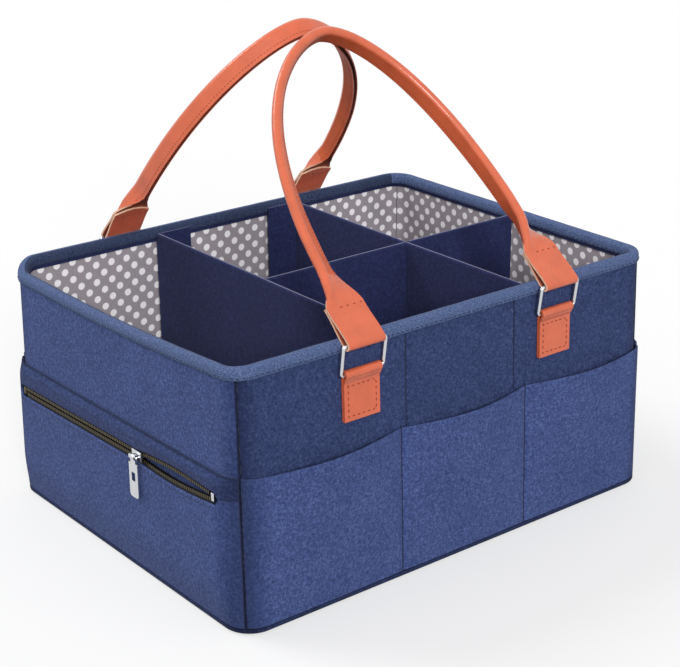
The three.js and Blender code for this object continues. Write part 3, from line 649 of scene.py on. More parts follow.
class CADDY_OT_basket(bpy.types.Operator):
    """Felt walls, boards, linings, base and floor"""
    bl_idname = "caddy.basket"
    bl_label = "Basket"

    def execute(self, context):
        for side, name in enumerate(SIDES):
            self.wall(side, name)
            first, last = corner_station(side, QUARTER), corner_station((side + 1) % 4, 0)
            stations = [first, *straight(first, last, BOARD_STEP), last]
            rings = self.layer(stations, BOARD_FACE, BOARD, FELT + GAP)
            lay(f"{name}_stiffener", rings, "board_grey", [f"{name}_board"])
            rings = self.layer(one_side(side, GAP, LINING_STEP), LINING_FACE, LINING, FLOOR_TOP + GAP)
            cloth = lay(f"{name}_cloth", rings, "lining_dots", [f"{name}_lining"])
        rings = self.layer(all_round(FACING_STEP), FACING_FACE, FACING, HEIGHT - FACING_DROP)
        lay("facing_band", rings, "trim_navy", ["inner_facing"], ["divider_navy"], closed=True)
        self.plate("base_felt", 0.0, 0.0, FELT, "felt_navy", "base_panel")
        self.plate("base_stiffener", LINING_FACE, FELT + GAP, FLOOR_LOW - GAP, "board_grey", "base_board")
        floor = self.plate("floor_cloth", LINING_FACE, FLOOR_LOW, FLOOR_TOP, "lining_dots", "floor_lining")
        wide, deep = LENGTH - 2 * LINING_FACE, DEPTH - 2 * LINING_FACE
        rounding = (4 - math.pi) * (CORNER - LINING_FACE) ** 2
        wide * deep - rounding
        return {"FINISHED"}

    def wall(self, side, name):
        """A felt wall, rolled in at the corner seams and drawn in at the sewn lines of a long wall"""
        marks = WALL_SEAMS if side % 2 == 0 else ()
        stations = one_side(side, SEAM_CUT, WALL_STEP, marks)
        reach = reaches(stations)
        heights = heights_between(FELT + GAP, LAYERS_TOP, WALL_RISE, FELT_EDGE)
        wave = sizes().wave
        rings = []
        for station, run in zip(stations, reach):
            end = min(run, reach[-1] - run)
            roll = CORNER_ROLL * (1 - ease(end, *CORNER_ROLL_FADE))
            spot = run - reach[-1] / 2
            seam = max((1 - ease(abs(spot - mark), *WALL_DENT_FADE) for mark in marks), default=0.0)
            hollow = ease(end, 0.004, 0.03)

            def outer(z):
                dip = wave * uneven(station[0], station[1], z, side) * hollow
                return dip + max(roll, WALL_DENT * seam)
            rings.append(slab_ring(station, outer, lambda z: FELT, heights, FELT_EDGE))
        # The long walls take the darker copy of the felt as painted shade
        shade = "wall_navy_painted_shade" if marks else "felt_navy"
        lay(f"{name}_felt", rings, "felt_navy", [f"{name}_wall"], [shade])

    def layer(self, stations, face, thickness, low):
        """Rings of an inner layer, from its lower edge up into the binding"""
        heights = heights_between(low, LAYERS_TOP, LAYER_RISE, LAYER_EDGE)
        return [slab_ring(station, lambda z: face, lambda z: face + thickness, heights, LAYER_EDGE)
                for station in stations]

    def plate(self, name, inset, low, high, slot, node):
        """A flat layer of the basket's foot"""
        outline = [at(station, inset, low) for station in all_round(PLATE_STEP)]
        points = [Vector((x, y, z)) for z in (low, high) for x, y, _ in outline]
        count = len(outline)
        faces = [tuple(range(count - 1, -1, -1)), tuple(range(count, 2 * count))]
        faces += [(i, (i + 1) % count, count + (i + 1) % count, count + i) for i in range(count)]
        cloth = [(points[p].x, points[p].y) for face in faces for p in face]
        return show(name, solid_mesh(name, points, faces, cloth), "caddy", slot, [node])


class CADDY_OT_trim(bpy.types.Operator):
    """Rim binding, corner seams and foot piping"""
    bl_idname = "caddy.trim"
    bl_label = "Trim"

    def execute(self, context):
        self.binding()
        for corner, name in enumerate(CORNERS):
            self.seam(corner, name)
        self.piping()
        return {"FINISHED"}

    def binding(self):
        """Tape folded over the rim: its section as (depth, height), carried round the basket.
        Its inner face takes a darker copy of the tape as painted shade, apart from the right end's."""
        low, top = HEIGHT - BINDING_DROP, HEIGHT
        outer, inner = -GAP - BINDING, RIM_INSIDE
        middle, half = (outer + inner) / 2, (inner - outer) / 2
        shoulder = top - BINDING_SHOULDER

        def arch(spread, crown):
            turns = [math.pi * i / 12 for i in range(13)]
            return [(middle - spread * math.cos(turn), shoulder + crown * math.sin(turn) ** 0.7)
                    for turn in turns]

        def foot(face, lip):
            return [(face + lip, low), (face, low + 0.0005), (face, low + 0.0022)]
        over = foot(outer, BINDING_LIP) + arch(half, top - shoulder) + foot(inner, -BINDING_LIP)[::-1]
        under = foot(inner - BINDING, BINDING_LIP) + arch(half - BINDING, top - shoulder - BINDING)[::-1]
        under += foot(outer + BINDING, -BINDING_LIP)[::-1]
        rings = []
        for station in all_round(TRIM_STEP):
            ring = []
            for depth, z in over + under:
                ripple = 0.00025 * (uneven(station[0], station[1], z, 3, 90) - 0.5)
                ring.append(at(station, depth + ripple, z + ripple))
            rings.append(ring)
        # Columns of the tape's inner face, which take the painted shade
        shaded_columns = range(10, 20)
        mesh = skin("rim_tape", rings, True, shaded_columns)
        # The right end's inner face keeps the plain tape, without the painted shade
        for face in mesh.polygons:
            if face.center.x > LENGTH / 2 - 0.014:
                face.material_index = 0
        show("rim_tape", mesh, "caddy", "binding_denim", ["rim_binding"], ["binding_denim", "binding_shade"],
             crease=60)

    def seam(self, corner, name):
        """The rolled felt edge that stands in one corner's seam"""
        x, y, out_x, out_y = corner_station(corner, EIGHTH)
        rings = []
        for z in steps(40, PIPING_TOP + GAP, HEIGHT - BINDING_DROP - GAP):
            ring = []
            for along, inwards in circle(8, 0.5):
                shift = SEAM_HALF * along
                station = (x - out_y * shift, y + out_x * shift, out_x, out_y)
                ring.append(at(station, SEAM_HALF + SEAM_STAND * inwards, z))
            rings.append(ring)
        lay(f"corner_roll_{name}", rings, "trim_navy", [f"corner_seam_{name}"])

    def piping(self):
        """The cord round the foot"""
        section = [(-GAP - PIPING_HALF + PIPING_HALF * inwards, PIPING_MIDDLE + PIPING_TALL * up)
                   for inwards, up in circle(10)]
        rings = [[at(station, depth, z) for depth, z in section] for station in all_round(TRIM_STEP)]
        lay("foot_piping", rings, "trim_navy", ["base_piping"], crease=60, closed=True)


class CADDY_OT_pockets(bpy.types.Operator):
    """Slip pockets on the long walls and the right end"""
    bl_idname = "caddy.pockets"
    bl_label = "Slip pockets"

    def execute(self, context):
        self.pocket(0, "front", POCKET_SEAMS, sizes().pocket_bow)
        self.pocket(2, "back", POCKET_SEAMS, sizes().pocket_bow)
        self.pocket(1, "right", (), sizes().end_bow)
        return {"FINISHED"}

    def pocket(self, side, name, seams, bow):
        """A sheet sewn down at its sides, foot and seams, whose bays stand off the wall at the mouth"""
        stations = one_side(side, SEAM_CUT, POCKET_STEP, seams)
        reach = reaches(stations)
        sewn = [0.0] + [reach[-1] / 2 + seam for seam in seams] + [reach[-1]]
        heights = heights_between(POCKET_LOW, POCKET_TOP, POCKET_RISE, FELT_EDGE)
        rings = []
        for station, run in zip(stations, reach):
            bay = max(i for i in range(len(sewn) - 1) if run >= sewn[i] - 1e-9)
            t = (run - sewn[bay]) / (sewn[bay + 1] - sewn[bay])
            share = math.sin(math.pi * min(1.0, t))
            pinch = min(abs(run - place) for place in sewn)

            def inside(z):
                v = (z - POCKET_LOW) / (POCKET_TOP - POCKET_LOW)
                wave = sizes().wave * uneven(station[0], station[1], z, side + 5, 22) * share
                return -GAP - bow * share * max(0.0, v) ** POCKET_FULLNESS - wave

            def outer(z):
                return inside(z) - FELT + POCKET_DENT * (1 - ease(pinch, *POCKET_DENT_FADE))
            rings.append(slab_ring(station, outer, inside, heights, FELT_EDGE))
        piece = lay(f"{name}_slip_pocket", rings, "felt_navy", [f"{name}_pocket"])


def parting(y):
    """How far a zip row has come away from the closed line"""
    t = (SLIDER_Y - y) / (SLIDER_Y + ZIP_HALF)
    return ZIP_MOUTH / 2 * math.sin(math.pi * t) if 0 < t < 1 else 0.0


def zip_line(y):
    """Height of the zip's line, before the left end's dip"""
    return ZIP_HEIGHT + ZIP_CLIMB * (0.5 - y / (2 * ZIP_HALF))


def zip_point(distance, y, z):
    """A point at a distance outside the left end wall"""
    return lean(-LENGTH / 2 - distance, y, z)


def panel_away(v, is_upper):
    """Share of the zipped pocket's stand-off at a height of its lower or upper panel, from 0 to 1"""
    return math.cos(QUARTER * v ** ZIP_RETURN) if is_upper else math.sin(QUARTER * min(1, v / ZIP_SWELL))


class CADDY_OT_zip(bpy.types.Operator):
    """Zipped pocket with its tapes, teeth, stops, slider and puller"""
    bl_idname = "caddy.zip"
    bl_label = "Zipped pocket"

    def execute(self, context):
        for name, sign in (("lower", -1), ("upper", 1)):
            self.panel(name, sign > 0)
            self.tape(name, sign)
            self.teeth(name, sign)
        self.bevelled("zip_stop_front", "caddy", "zip_brass", "ring_silver", 0.0004)
        self.bevelled("zip_stop_back", "caddy", "zip_brass", "zip_brass", 0.0004)
        self.bevelled("zip_slider", "zip_slider", "ring_silver", "ring_silver", 0.00045)
        self.bevelled("zip_puller", "zip_puller", "ring_silver", "ring_silver", 0.0005)
        return {"FINISHED"}

    def panel(self, name, is_upper):
        """The felt below or above the zip. The one above takes the darker felt as painted shade, with a
        painted shadow along its upper edge
        """
        stations = one_side(3, SEAM_CUT, POCKET_STEP)
        reach = reaches(stations)
        half = CORNER_STEPS // 2
        rings = []
        for i, (station, run) in enumerate(zip(stations, reach)):
            ramp = ease(min(run, reach[-1] - run), 0, ZIP_RAMP)
            on_corner = min(i, len(stations) - 1 - i) < half
            edge = GAP / 2 if on_corner else ZIP_WINDOW / 2 + parting(station[1])
            line = zip_line(station[1])
            low, high = (line + edge, POCKET_TOP) if is_upper else (POCKET_LOW, line - edge)
            heights = heights_between(low, high, (high - low) / (8 if is_upper else 16), FELT_EDGE)

            def inside(z):
                return -GAP - (ZIP_STANDOFF - GAP) * ramp * panel_away((z - low) / (high - low), is_upper)
            rings.append(slab_ring(station, lambda z: inside(z) - FELT, inside, heights, FELT_EDGE))
        top = len(heights) - 1
        # The upper panel's top edge takes the dark trim felt: painted shadow where it meets the wall
        mesh = skin(f"zip_{name}_felt", rings, edges=(top - 1, top, top + 1) if is_upper else ())
        piece = show(f"zip_{name}_felt", mesh, "caddy", "felt_navy", [f"zip_pocket_{name}"],
                     ["wall_navy_painted_shade", "trim_navy"] if is_upper else ())

    def tape(self, name, sign):
        near = ROW_SPACE / 2 + TOOTH_LENGTH + ROW_SPINE + GAP
        far = ZIP_WINDOW / 2 + TAPE_LAP
        section = ((near, 1), ((near + far) / 2, 1), (far, 1), (far, -1), ((near + far) / 2, -1), (near, -1))
        rings = []
        for y in steps(80, -ZIP_HALF, ZIP_HALF):
            ring = []
            for distance, face in section:
                z = zip_line(y) + sign * (distance + parting(y))
                ring.append(zip_point(TAPE_PLANE + face * TAPE / 2, y, z))
            rings.append(ring)
        lay(f"zip_{name}_weave", rings, "zip_tape", [f"zip_tape_{name}"])

    def teeth(self, name, sign):
        """One row of teeth, half a tooth on from the other row"""
        path = []
        pitch = sizes().tooth_pitch
        for place in steps(240, -ZIP_HALF + 0.002, ZIP_HALF - 0.002):
            y = place + sign * pitch / 4
            z = zip_line(y) + sign * (ROW_SPACE / 2 + (TOOTH_LENGTH + ROW_SPINE) / 2 + parting(y))
            path.append(zip_point(TAPE_PLANE, y, z))
        tooth = (pitch * 0.62, TOOTH_LENGTH + ROW_SPINE, ROW_THICKNESS)
        mesh = repeated(f"zip_{name}_teeth", [path], TOOTH, pitch, tooth, "zip_brass")
        show(f"zip_{name}_teeth", mesh, "caddy", "zip_brass", [f"zip_row_{name}"])

    def bevelled(self, node, body, slot, finish, width):
        """A CAD casting with its edges broken"""
        work = bmesh.new()
        work.from_mesh(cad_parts[node].data)
        bmesh.ops.remove_doubles(work, verts=work.verts, dist=1e-6)
        bmesh.ops.dissolve_limit(work, angle_limit=math.radians(1), verts=work.verts, edges=work.edges)
        sharp = math.radians(35)
        edges = [edge for edge in work.edges if len(edge.link_faces) == 2 and edge.calc_face_angle(0) > sharp]
        bmesh.ops.bevel(work, geom=edges, offset=width, segments=2, profile=0.6, affect="EDGES",
                        clamp_overlap=True)
        mesh = bpy.data.meshes.new(f"{node}_casting")
        work.to_mesh(mesh)
        work.free()
        show(f"{node}_casting", mesh, body, slot, [node], [finish], crease=50)


# Repeated work: trees by name, with the node that makes the small shape
STITCH = ("Stitches", "GeometryNodeMeshUVSphere", {"Segments": 6, "Rings": 4, "Radius": 0.5})
TOOTH = ("Teeth", "GeometryNodeMeshCube", {"Size": (1.0, 1.0, 1.0)})


def repeat_tree(name, kind, values):
    """A tree, made once, that sets copies of a small shape along paths, each turned to its path"""
    if name in bpy.data.node_groups:
        return bpy.data.node_groups[name]
    tree = bpy.data.node_groups.new(name, "GeometryNodeTree")
    for label, taken in (
            ("Geometry", "Geometry"), ("Pitch", "Float"), ("Size", "Vector"), ("Finish", "Material")):
        tree.interface.new_socket(label, in_out="INPUT", socket_type=f"NodeSocket{taken}")
    tree.interface.new_socket("Geometry", in_out="OUTPUT", socket_type="NodeSocketGeometry")
    given = grown(tree, "NodeGroupInput").outputs
    shape = grown(tree, kind, {}, values)
    curve = grown(tree, "GeometryNodeMeshToCurve", {}, {"Mesh": given["Geometry"]})
    spaced = grown(tree, "GeometryNodeResampleCurve", {"mode": "LENGTH"}, {
        "Curve": curve.outputs[0], "Length": given["Pitch"]})
    tangent = grown(tree, "GeometryNodeInputTangent")
    turned = grown(tree, "FunctionNodeAlignRotationToVector", {"axis": "X"}, {"Vector": tangent.outputs[0]})
    placed = grown(tree, "GeometryNodeInstanceOnPoints", {}, {
        "Points": spaced.outputs[0], "Instance": shape.outputs[0], "Rotation": turned.outputs[0],
        "Scale": given["Size"]})
    whole = grown(tree, "GeometryNodeRealizeInstances", {}, {"Geometry": placed.outputs[0]})
    coloured = grown(tree, "GeometryNodeSetMaterial", {}, {
        "Geometry": whole.outputs[0], "Material": given["Finish"]})
    grown(tree, "NodeGroupOutput", {}, {"Geometry": coloured.outputs[0]})
    return tree


def repeated(name, paths, shape, pitch, size, finish):
    """The plain mesh of small shapes along paths"""
    points, edges = [], []
    for path in paths:
        first = len(points)
        points += path
        edges += [(first + i, first + i + 1) for i in range(len(path) - 1)]
    mesh = bpy.data.meshes.new(f"{name}_paths")
    mesh.from_pydata(points, edges, [])
    carrier = bpy.data.objects.new(f"{name}_paths", mesh)
    bpy.context.scene.collection.objects.link(carrier)
    modifier = carrier.modifiers.new("repeat", "NODES")
    modifier.node_group = repeat_tree(*shape)
    values = {"Pitch": pitch, "Size": size, "Finish": finishes()[finish]}
    for item in modifier.node_group.interface.items_tree:
        if item.in_out == "INPUT" and item.name in values:
            modifier[item.identifier] = values[item.name]
    evaluated = carrier.evaluated_get(bpy.context.evaluated_depsgraph_get())
    done = bpy.data.meshes.new_from_object(evaluated)
    bpy.data.objects.remove(carrier)
    if not done.vertices:
        raise RuntimeError(f"{name} came out empty")
    done.materials.clear()
    return done


def sew(name, body, paths, pitch, stitch, finish="leather_thread", slot="leather_tan"):
    """Rows of stitches along paths"""
    run, thickness = stitch
    mesh = repeated(name, paths, STITCH, pitch, (run, thickness, thickness), finish)
    return show(name, mesh, body, slot, materials=[finish], crease=80)


# Handles


def handle_frames(side, inwards):
    """Frames of a long wall's tabs, rings and handle"""
    tilt = math.atan2(LONG_TUCK, HEIGHT)
    half = DEPTH / 2 - (RING_Z / HEIGHT - 0.5) * LONG_TUCK
    turned = Matrix.Rotation(0 if side < 0 else math.pi, 4, "Z")
    place = Matrix.Translation((0, -half - (GAP + LOOP_RADIUS) / math.cos(tilt), RING_Z))
    sewn = turned @ place @ Matrix.Rotation(-tilt, 4, "X")
    rings = sewn @ Matrix.Rotation(RING_LEAN + tilt, 4, "X")
    lean_in = Matrix.Rotation(-RING_LEAN - math.radians(inwards), 4, "X")
    strap = rings @ Matrix.Translation((0, 0, RING_HEIGHT)) @ lean_in
    return sewn, rings, strap


# shaded: the stretch, as shares along the strap, where the roll's leaf takes the darker leather as painted
# shade
HANDLES = {
    "front_handle": dict(wall="front", side=-1, rise=0.223, inwards=48.5, lift=0.019, rings="front_rings",
                         ridge=0.009, roll=(0.0035, 0.0135), shaded=(0.47, 1.0),
                         twist=((0, -62), (0.12, -64), (0.27, -46), (0.42, -20), (0.5, 4), (0.6, -4),
                                (0.75, -24), (0.9, -6), (1, 45))),
    "rear_handle": dict(wall="back", side=1, rise=0.2025, inwards=40, lift=0.013, rings="rear_rings",
                        ridge=-0.009, roll=(0.0041, 0.015), shaded=(0.0, 0.53),
                        twist=((0, -20), (0.2, 0), (1, 0))),
}
LEAF_STEPS, FOLD_STEPS = 8, 14
STRAP_FINISHES = [f"leather_{part}" for part in ("tan", "edge", "back", "dark", "under", "leaf")]
ACROSS_STRIP = ((-0.985, 0.5), (-0.9, 0.5), (0, 0.5), (0.9, 0.5), (0.985, 0.5), (1, 0.0),
                (0.985, -0.5), (0.9, -0.5), (0, -0.5), (-0.9, -0.5), (-0.985, -0.5), (-1, 0.0))


class CADDY_OT_handles(bpy.types.Operator):
    """Anchor tabs, rings and rolled leather handles with their sewing"""
    bl_idname = "caddy.handles"
    bl_label = "Handles"

    def execute(self, context):
        tab_rows = []
        for name, facts in HANDLES.items():
            sewn, rings, strap = handle_frames(facts["side"], facts["inwards"])
            for end in (-1, 1):
                hand = "left" if end * -facts["side"] < 0 else "right"
                shift = Matrix.Translation((end * TAB_SPACING / 2, 0, 0))
                tab_rows.append(self.tab(f"{facts['wall']}_{hand}", sewn @ shift))
                self.ring(f"{facts['wall']}_{hand}_ring", facts["rings"], rings @ shift)
            self.strap(name, strap, facts)
        sew("tab_sewing", "caddy", tab_rows, sizes().tab_pitch, TAB_STITCH)
        return {"FINISHED"}

    def tab(self, name, place):
        """A strip folded round the ring's lower bar, and the line of its box stitch"""
        radius = LOOP_RADIUS - LEATHER / 2
        front = LOOP_RADIUS - 1.5 * LEATHER
        path = [(radius, -TAB_DROP * (1 - i / 10)) for i in range(10)]
        stop, drop = math.radians(237), 0.0012
        path += [(radius * math.cos(stop * i / 20), radius * math.sin(stop * i / 20)) for i in range(21)]
        low = path[-1]
        path += [(mix(low[0], front, ease(i, 0, 4)), low[1] - drop * i) for i in range(1, 5)]
        path += [(front, mix(low[1] - 4 * drop, -TAB_DROP, i / 8)) for i in range(1, 9)]
        half = TAB_WIDTH / 2
        rings = []
        for i, (y, z) in enumerate(path):
            before, after = path[max(0, i - 1)], path[min(len(path) - 1, i + 1)]
            run = Vector((after[0] - before[0], after[1] - before[1])).normalized()
            rings.append([place @ Vector((x * half, y + run[1] * lift * LEATHER, z - run[0] * lift * LEATHER))
                          for x, lift in ACROSS_STRIP])
        lay(f"{name}_leather", rings, "leather_tan", [f"{name}_tab"])
        face = front - LEATHER / 2 - PROUD
        inset = 0.0034
        side, foot, head = half - inset, -TAB_DROP + inset, -0.0085
        corners = [(-side, head), (-side, foot), (side, foot), (side, head), (-side, head)]
        row = []
        for (x0, z0), (x1, z1) in zip(corners, corners[1:]):
            row += [place @ Vector((mix(x0, x1, i / 12), face, mix(z0, z1, i / 12))) for i in range(12)]
        return row + [row[0]]

    def ring(self, node, body, place):
        """A wire bent to a rectangle with rounded corners"""
        half = TAB_WIDTH / 2 + GAP
        corners = ((half, RING_CORNER, -QUARTER), (half, RING_HEIGHT - RING_CORNER, 0),
                   (-half, RING_HEIGHT - RING_CORNER, QUARTER), (-half, RING_CORNER, math.pi))
        rings = []
        for x, z, turn in corners:
            for i in range(9):
                angle = turn + QUARTER * i / 8
                out = Vector((math.cos(angle), 0, math.sin(angle)))
                middle = Vector((x, 0, z)) + out * RING_CORNER
                ring = []
                for outwards, aside in circle(14):
                    point = middle + out * (outwards * RING_WIRE / 2)
                    ring.append(place @ (point + Vector((0, aside * RING_WIRE / 2, 0))))
                rings.append(ring)
        lay(f"{node}_wire", rings, "ring_silver", [node], body=body, crease=70, closed=True)

    def strap(self, name, place, facts):
        """One strip from flap to flap: round a ring, rolled over the crown and round the other ring"""
        left, right = strap_end(-1), strap_end(1)
        path = strap_path(facts["rise"], facts["lift"])
        line = left + path + right[::-1]
        run = [0.0]
        for before, after in zip(path, path[1:]):
            run.append(run[-1] + (after - before).length)
        rings, rolled, shaded, rows = [], [], [], ([], [])
        for i, point in enumerate(line):
            onward = (line[min(len(line) - 1, i + 1)] - line[max(0, i - 1)]).normalized()
            spot = i - len(left)
            rolling = 0 <= spot < len(path)
            hand = -1 if i < len(line) / 2 else 1
            across = Vector((0, 1, 0)).cross(onward).normalized() if rolling else Vector((-hand, 0, 0))
            inwards = onward.cross(across)
            reach = run[spot] if rolling else 0.0
            end = STRAP_FLAT + min(reach, run[-1] - reach)
            share = reach / run[-1] if rolling or hand < 0 else 1.0
            away = FLAT_AWAY if rolling else 0.0
            turn = between(facts["twist"], share)
            outer, inner = strap_section(end, hand * facts["ridge"], away, turn, *facts["roll"])
            flap = 0.0 if rolling else 0.004 * (1 - ease(min(i, len(line) - 1 - i), 0, 6))

            def put(a, b):
                arch = Vector((0, 0, flap * math.cos(a / TAB_WIDTH * math.pi)))
                return place @ (point + arch + across * a + inwards * b)
            middles = [((outer[k][0] + inner[k][0]) / 2, (outer[k][1] + inner[k][1]) / 2) for k in (0, -1)]
            rings.append([put(*p) for p in outer + [middles[1]] + inner[::-1] + [middles[0]]])
            rolled.append(end > STRAP_FLAT + STRAP_CHANGE * 0.7)
            # Along the shaded stretch the leaf takes the darker leather: painted shade
            shaded.append(rolled[-1] and facts["shaded"][0] <= share <= facts["shaded"][1])
            if rolled[-1]:
                rows[0].append(put(*outer[2]))
                rows[1].append(put(*outer[-3]))
        count = len(outer)
        mesh = skin(f"{name}_leather", rings, edges=(count - 1, count, 2 * count, 2 * count + 1))
        self.dress(mesh, count, rolled, shaded)
        show(f"{name}_leather", mesh, name, "leather_tan", [name], STRAP_FINISHES, crease=50)
        sew(f"{name}_sewing", name, rows, sizes().roll_pitch, ROLL_STITCH)
        flat_rows = []
        for hand in (-1, 1):
            x, face = hand * TAB_SPACING / 2, LEATHER * 1.1 + PROUD
            for start, y in ((-0.004, -face), (-0.0122, face)):
                flat_rows.append([place @ Vector((x + shift, y, FLAT_SEWN))
                                  for shift in steps(8, start, 0.0122)])
        sew(f"{name}_end_sewing", name, flat_rows, sizes().tab_pitch, END_STITCH)

    def dress(self, mesh, count, rolled, shaded):
        """Give a strap's faces their finishes by their column across it. Those of its ends come last."""
        tan, edge, back, dark, under, leaf = range(len(STRAP_FINISHES))
        for face in mesh.polygons:
            ring, column = divmod(face.index, 2 * count + 2)
            if ring == len(rolled) - 1:
                break
            if count < column < 2 * count:
                face.material_index = back
            # Along the roll, the raw edges' halves toward the gap between the leaves take painted shade
            elif rolled[ring] and face.material_index == edge:
                face.material_index = dark if column in (count, 2 * count) else tan
            # The leaf takes the darker leather as painted shade along the shaded stretch
            elif rolled[ring] and LEAF_STEPS + FOLD_STEPS <= column < count - 1:
                face.material_index = under if shaded[ring] else leaf


def strap_end(hand):
    """Middle line of a flat end, from the top of its return flap round the ring's bar to the outer layer"""
    radius = LOOP_RADIUS - LEATHER / 2

    def leg(side, z):
        return Vector((hand * TAB_SPACING / 2, side * mix(radius, FLAT_AWAY, ease(z, 0.003, 0.024)), z))
    flap = [leg(1, FLAP_TOP * (1 - i / 14)) for i in range(14)]
    turns = [math.pi * i / 16 for i in range(17)]
    loop = [Vector((hand * TAB_SPACING / 2, radius * math.cos(t), -radius * math.sin(t))) for t in turns]
    return flap + loop + [leg(-1, STRAP_FLAT * i / 14) for i in range(1, 14)]


def strap_path(rise, lift):
    """Middle line of a handle between its flat ends, over the crown"""
    legs = []
    for end in (-1, 1):
        x = end * TAB_SPACING / 2
        foot, shoulder = Vector((x, 0, LEG_STRAIGHT)), Vector((x, 0, rise - LEG_PULL))
        level, crown = Vector((end * CROWN_PULL, -lift, rise)), Vector((0, -lift, rise))
        leg = [Vector((x, 0, mix(STRAP_FLAT, LEG_STRAIGHT, i / 8))) for i in range(8)]
        steps = 72
        for i in range(steps + 1):
            t = i / steps
            s = 1 - t
            leg.append(foot * s ** 3 + shoulder * 3 * s * s * t + level * 3 * s * t * t + crown * t ** 3)
        legs.append(leg)
    return legs[0] + legs[1][-2::-1]


def between(marks, share):
    """The value at a share of the way, from marked values"""
    for (low, first), (high, second) in zip(marks, marks[1:]):
        if share <= high:
            return mix(first, second, (share - low) / (high - low))
    return marks[-1][1]


def strap_section(end, ridge, away, turn, roll_radius, roll_depth):
    """Outer and inner face of the strap across its width, as (across, inwards). Flat at its ends, it lifts
    over a cord at the ridge and rolls up round it, turned by an angle."""
    change = min(1.0, max(0.0, (end - STRAP_FLAT) / STRAP_CHANGE))
    drawn, rolled = mix(change, ease(change, 0, 1), 0.4), ease(change, 0, 1)
    cord = ease(end, STRAP_FLAT - 0.001, STRAP_FLAT + 0.014)
    half = TAB_WIDTH / 2
    c, s = math.cos(math.radians(turn)), math.sin(math.radians(turn))
    fold_foot = roll_radius - roll_depth / 2
    flat, roll = [], []
    for k in range(LEAF_STEPS):
        t = k / LEAF_STEPS
        flat.append((mix(-half, ridge - roll_radius, t), 0.0))
        roll.append((-mix(ROLL_EDGE, roll_radius, t), mix(roll_depth / 2, fold_foot, t)))
    for k in range(FOLD_STEPS + 1):
        angle = math.pi * k / FOLD_STEPS
        flat.append((ridge - roll_radius * math.cos(angle), -roll_radius * cord * math.sin(angle)))
        roll.append((-roll_radius * math.cos(angle), fold_foot - roll_radius * math.sin(angle)))
    for k in range(1, LEAF_STEPS + 1):
        t = k / LEAF_STEPS
        flat.append((mix(ridge + roll_radius, half, t), 0.0))
        roll.append((mix(roll_radius, ROLL_EDGE, t), mix(fold_foot, roll_depth / 2, t)))
    outer, inner = [], []
    last = len(roll) - 1
    for k, (low, high) in enumerate(zip(flat, roll)):
        before, after = roll[max(0, k - 1)], roll[min(last, k + 1)]
        size = math.hypot(after[0] - before[0], after[1] - before[1])
        out = ((after[1] - before[1]) / size, (before[0] - after[0]) / size)
        under = (high[0] - out[0] * LEATHER, high[1] - out[1] * LEATHER)
        for face, (a, b), side in ((outer, high, -1), (inner, under, 1)):
            level = low[1] + side * LEATHER / 2
            face.append((mix(low[0], a * c - b * s, drawn), mix(level - away, a * s + b * c, rolled)))
    return outer, inner


class CADDY_OT_dividers(bpy.types.Operator):
    """Divider insert of four felt panels, with flanges on the cross panels"""
    bl_idname = "caddy.dividers"
    bl_label = "Divider insert"

    def execute(self, context):
        for node, axis in (
                ("divider_left", 1), ("divider_right", 1), ("divider_middle", 0), ("divider_end", 0)):
            low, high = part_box(node)
            self.panel(f"{node}_felt", axis, low, high, 0.00105, [node])
        for node, onwards in (("divider_left", 1), ("divider_right", -1)):
            low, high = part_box(node)
            start = high.x if onwards > 0 else low.x
            stop = start + onwards * sizes().flange
            for name, y in (("front", low.y), ("back", high.y - FLANGE_FELT)):
                self.panel(f"{node}_{name}_flange", 0, Vector((min(start, stop), y, low.z)),
                           Vector((max(start, stop), y + FLANGE_FELT, high.z)), 0.0004)
        return {"FINISHED"}

    def panel(self, name, axis, low, high, edge, replaced=()):
        """An upright felt panel with a painted highlight along its cut edge on top. One that stands for a
        solid sways a little.
        """
        run = high[axis] - low[axis]
        across = 1 - axis
        middle, half = (low[across] + high[across]) / 2, (high[across] - low[across]) / 2
        count = max(4, round(run / 0.006))
        heights = heights_between(low.z, high.z, DIVIDER_RISE, edge)
        last = len(heights) - 1
        rings = []
        for i in range(count + 1):
            place = low[axis] + run * i / count
            sway = 0.0
            if replaced:
                sway = 0.0012 * (uneven(place, middle, 0, 9, 9) - 0.5) * math.sin(math.pi * i / count)
            section = []
            for sign, order in ((1, range(last + 1)), (-1, range(last, -1, -1))):
                for j in order:
                    lift = (heights[j] - low.z) / (high.z - low.z)
                    spot = middle + sway * lift + sign * (half - (edge if j in (0, last) else 0.0))
                    section.append((spot, place, heights[j]) if axis else (place, spot, heights[j]))
            rings.append(section)
        mesh = skin(name, rings)
        # Faces that look up take the pale finish: a painted highlight
        for face in mesh.polygons:
            if face.normal.z > 0.9:
                face.material_index = 1
        show(name, mesh, "divider_insert", "divider_navy", replaced, ["divider_navy", "divider_top_painted_highlight"])


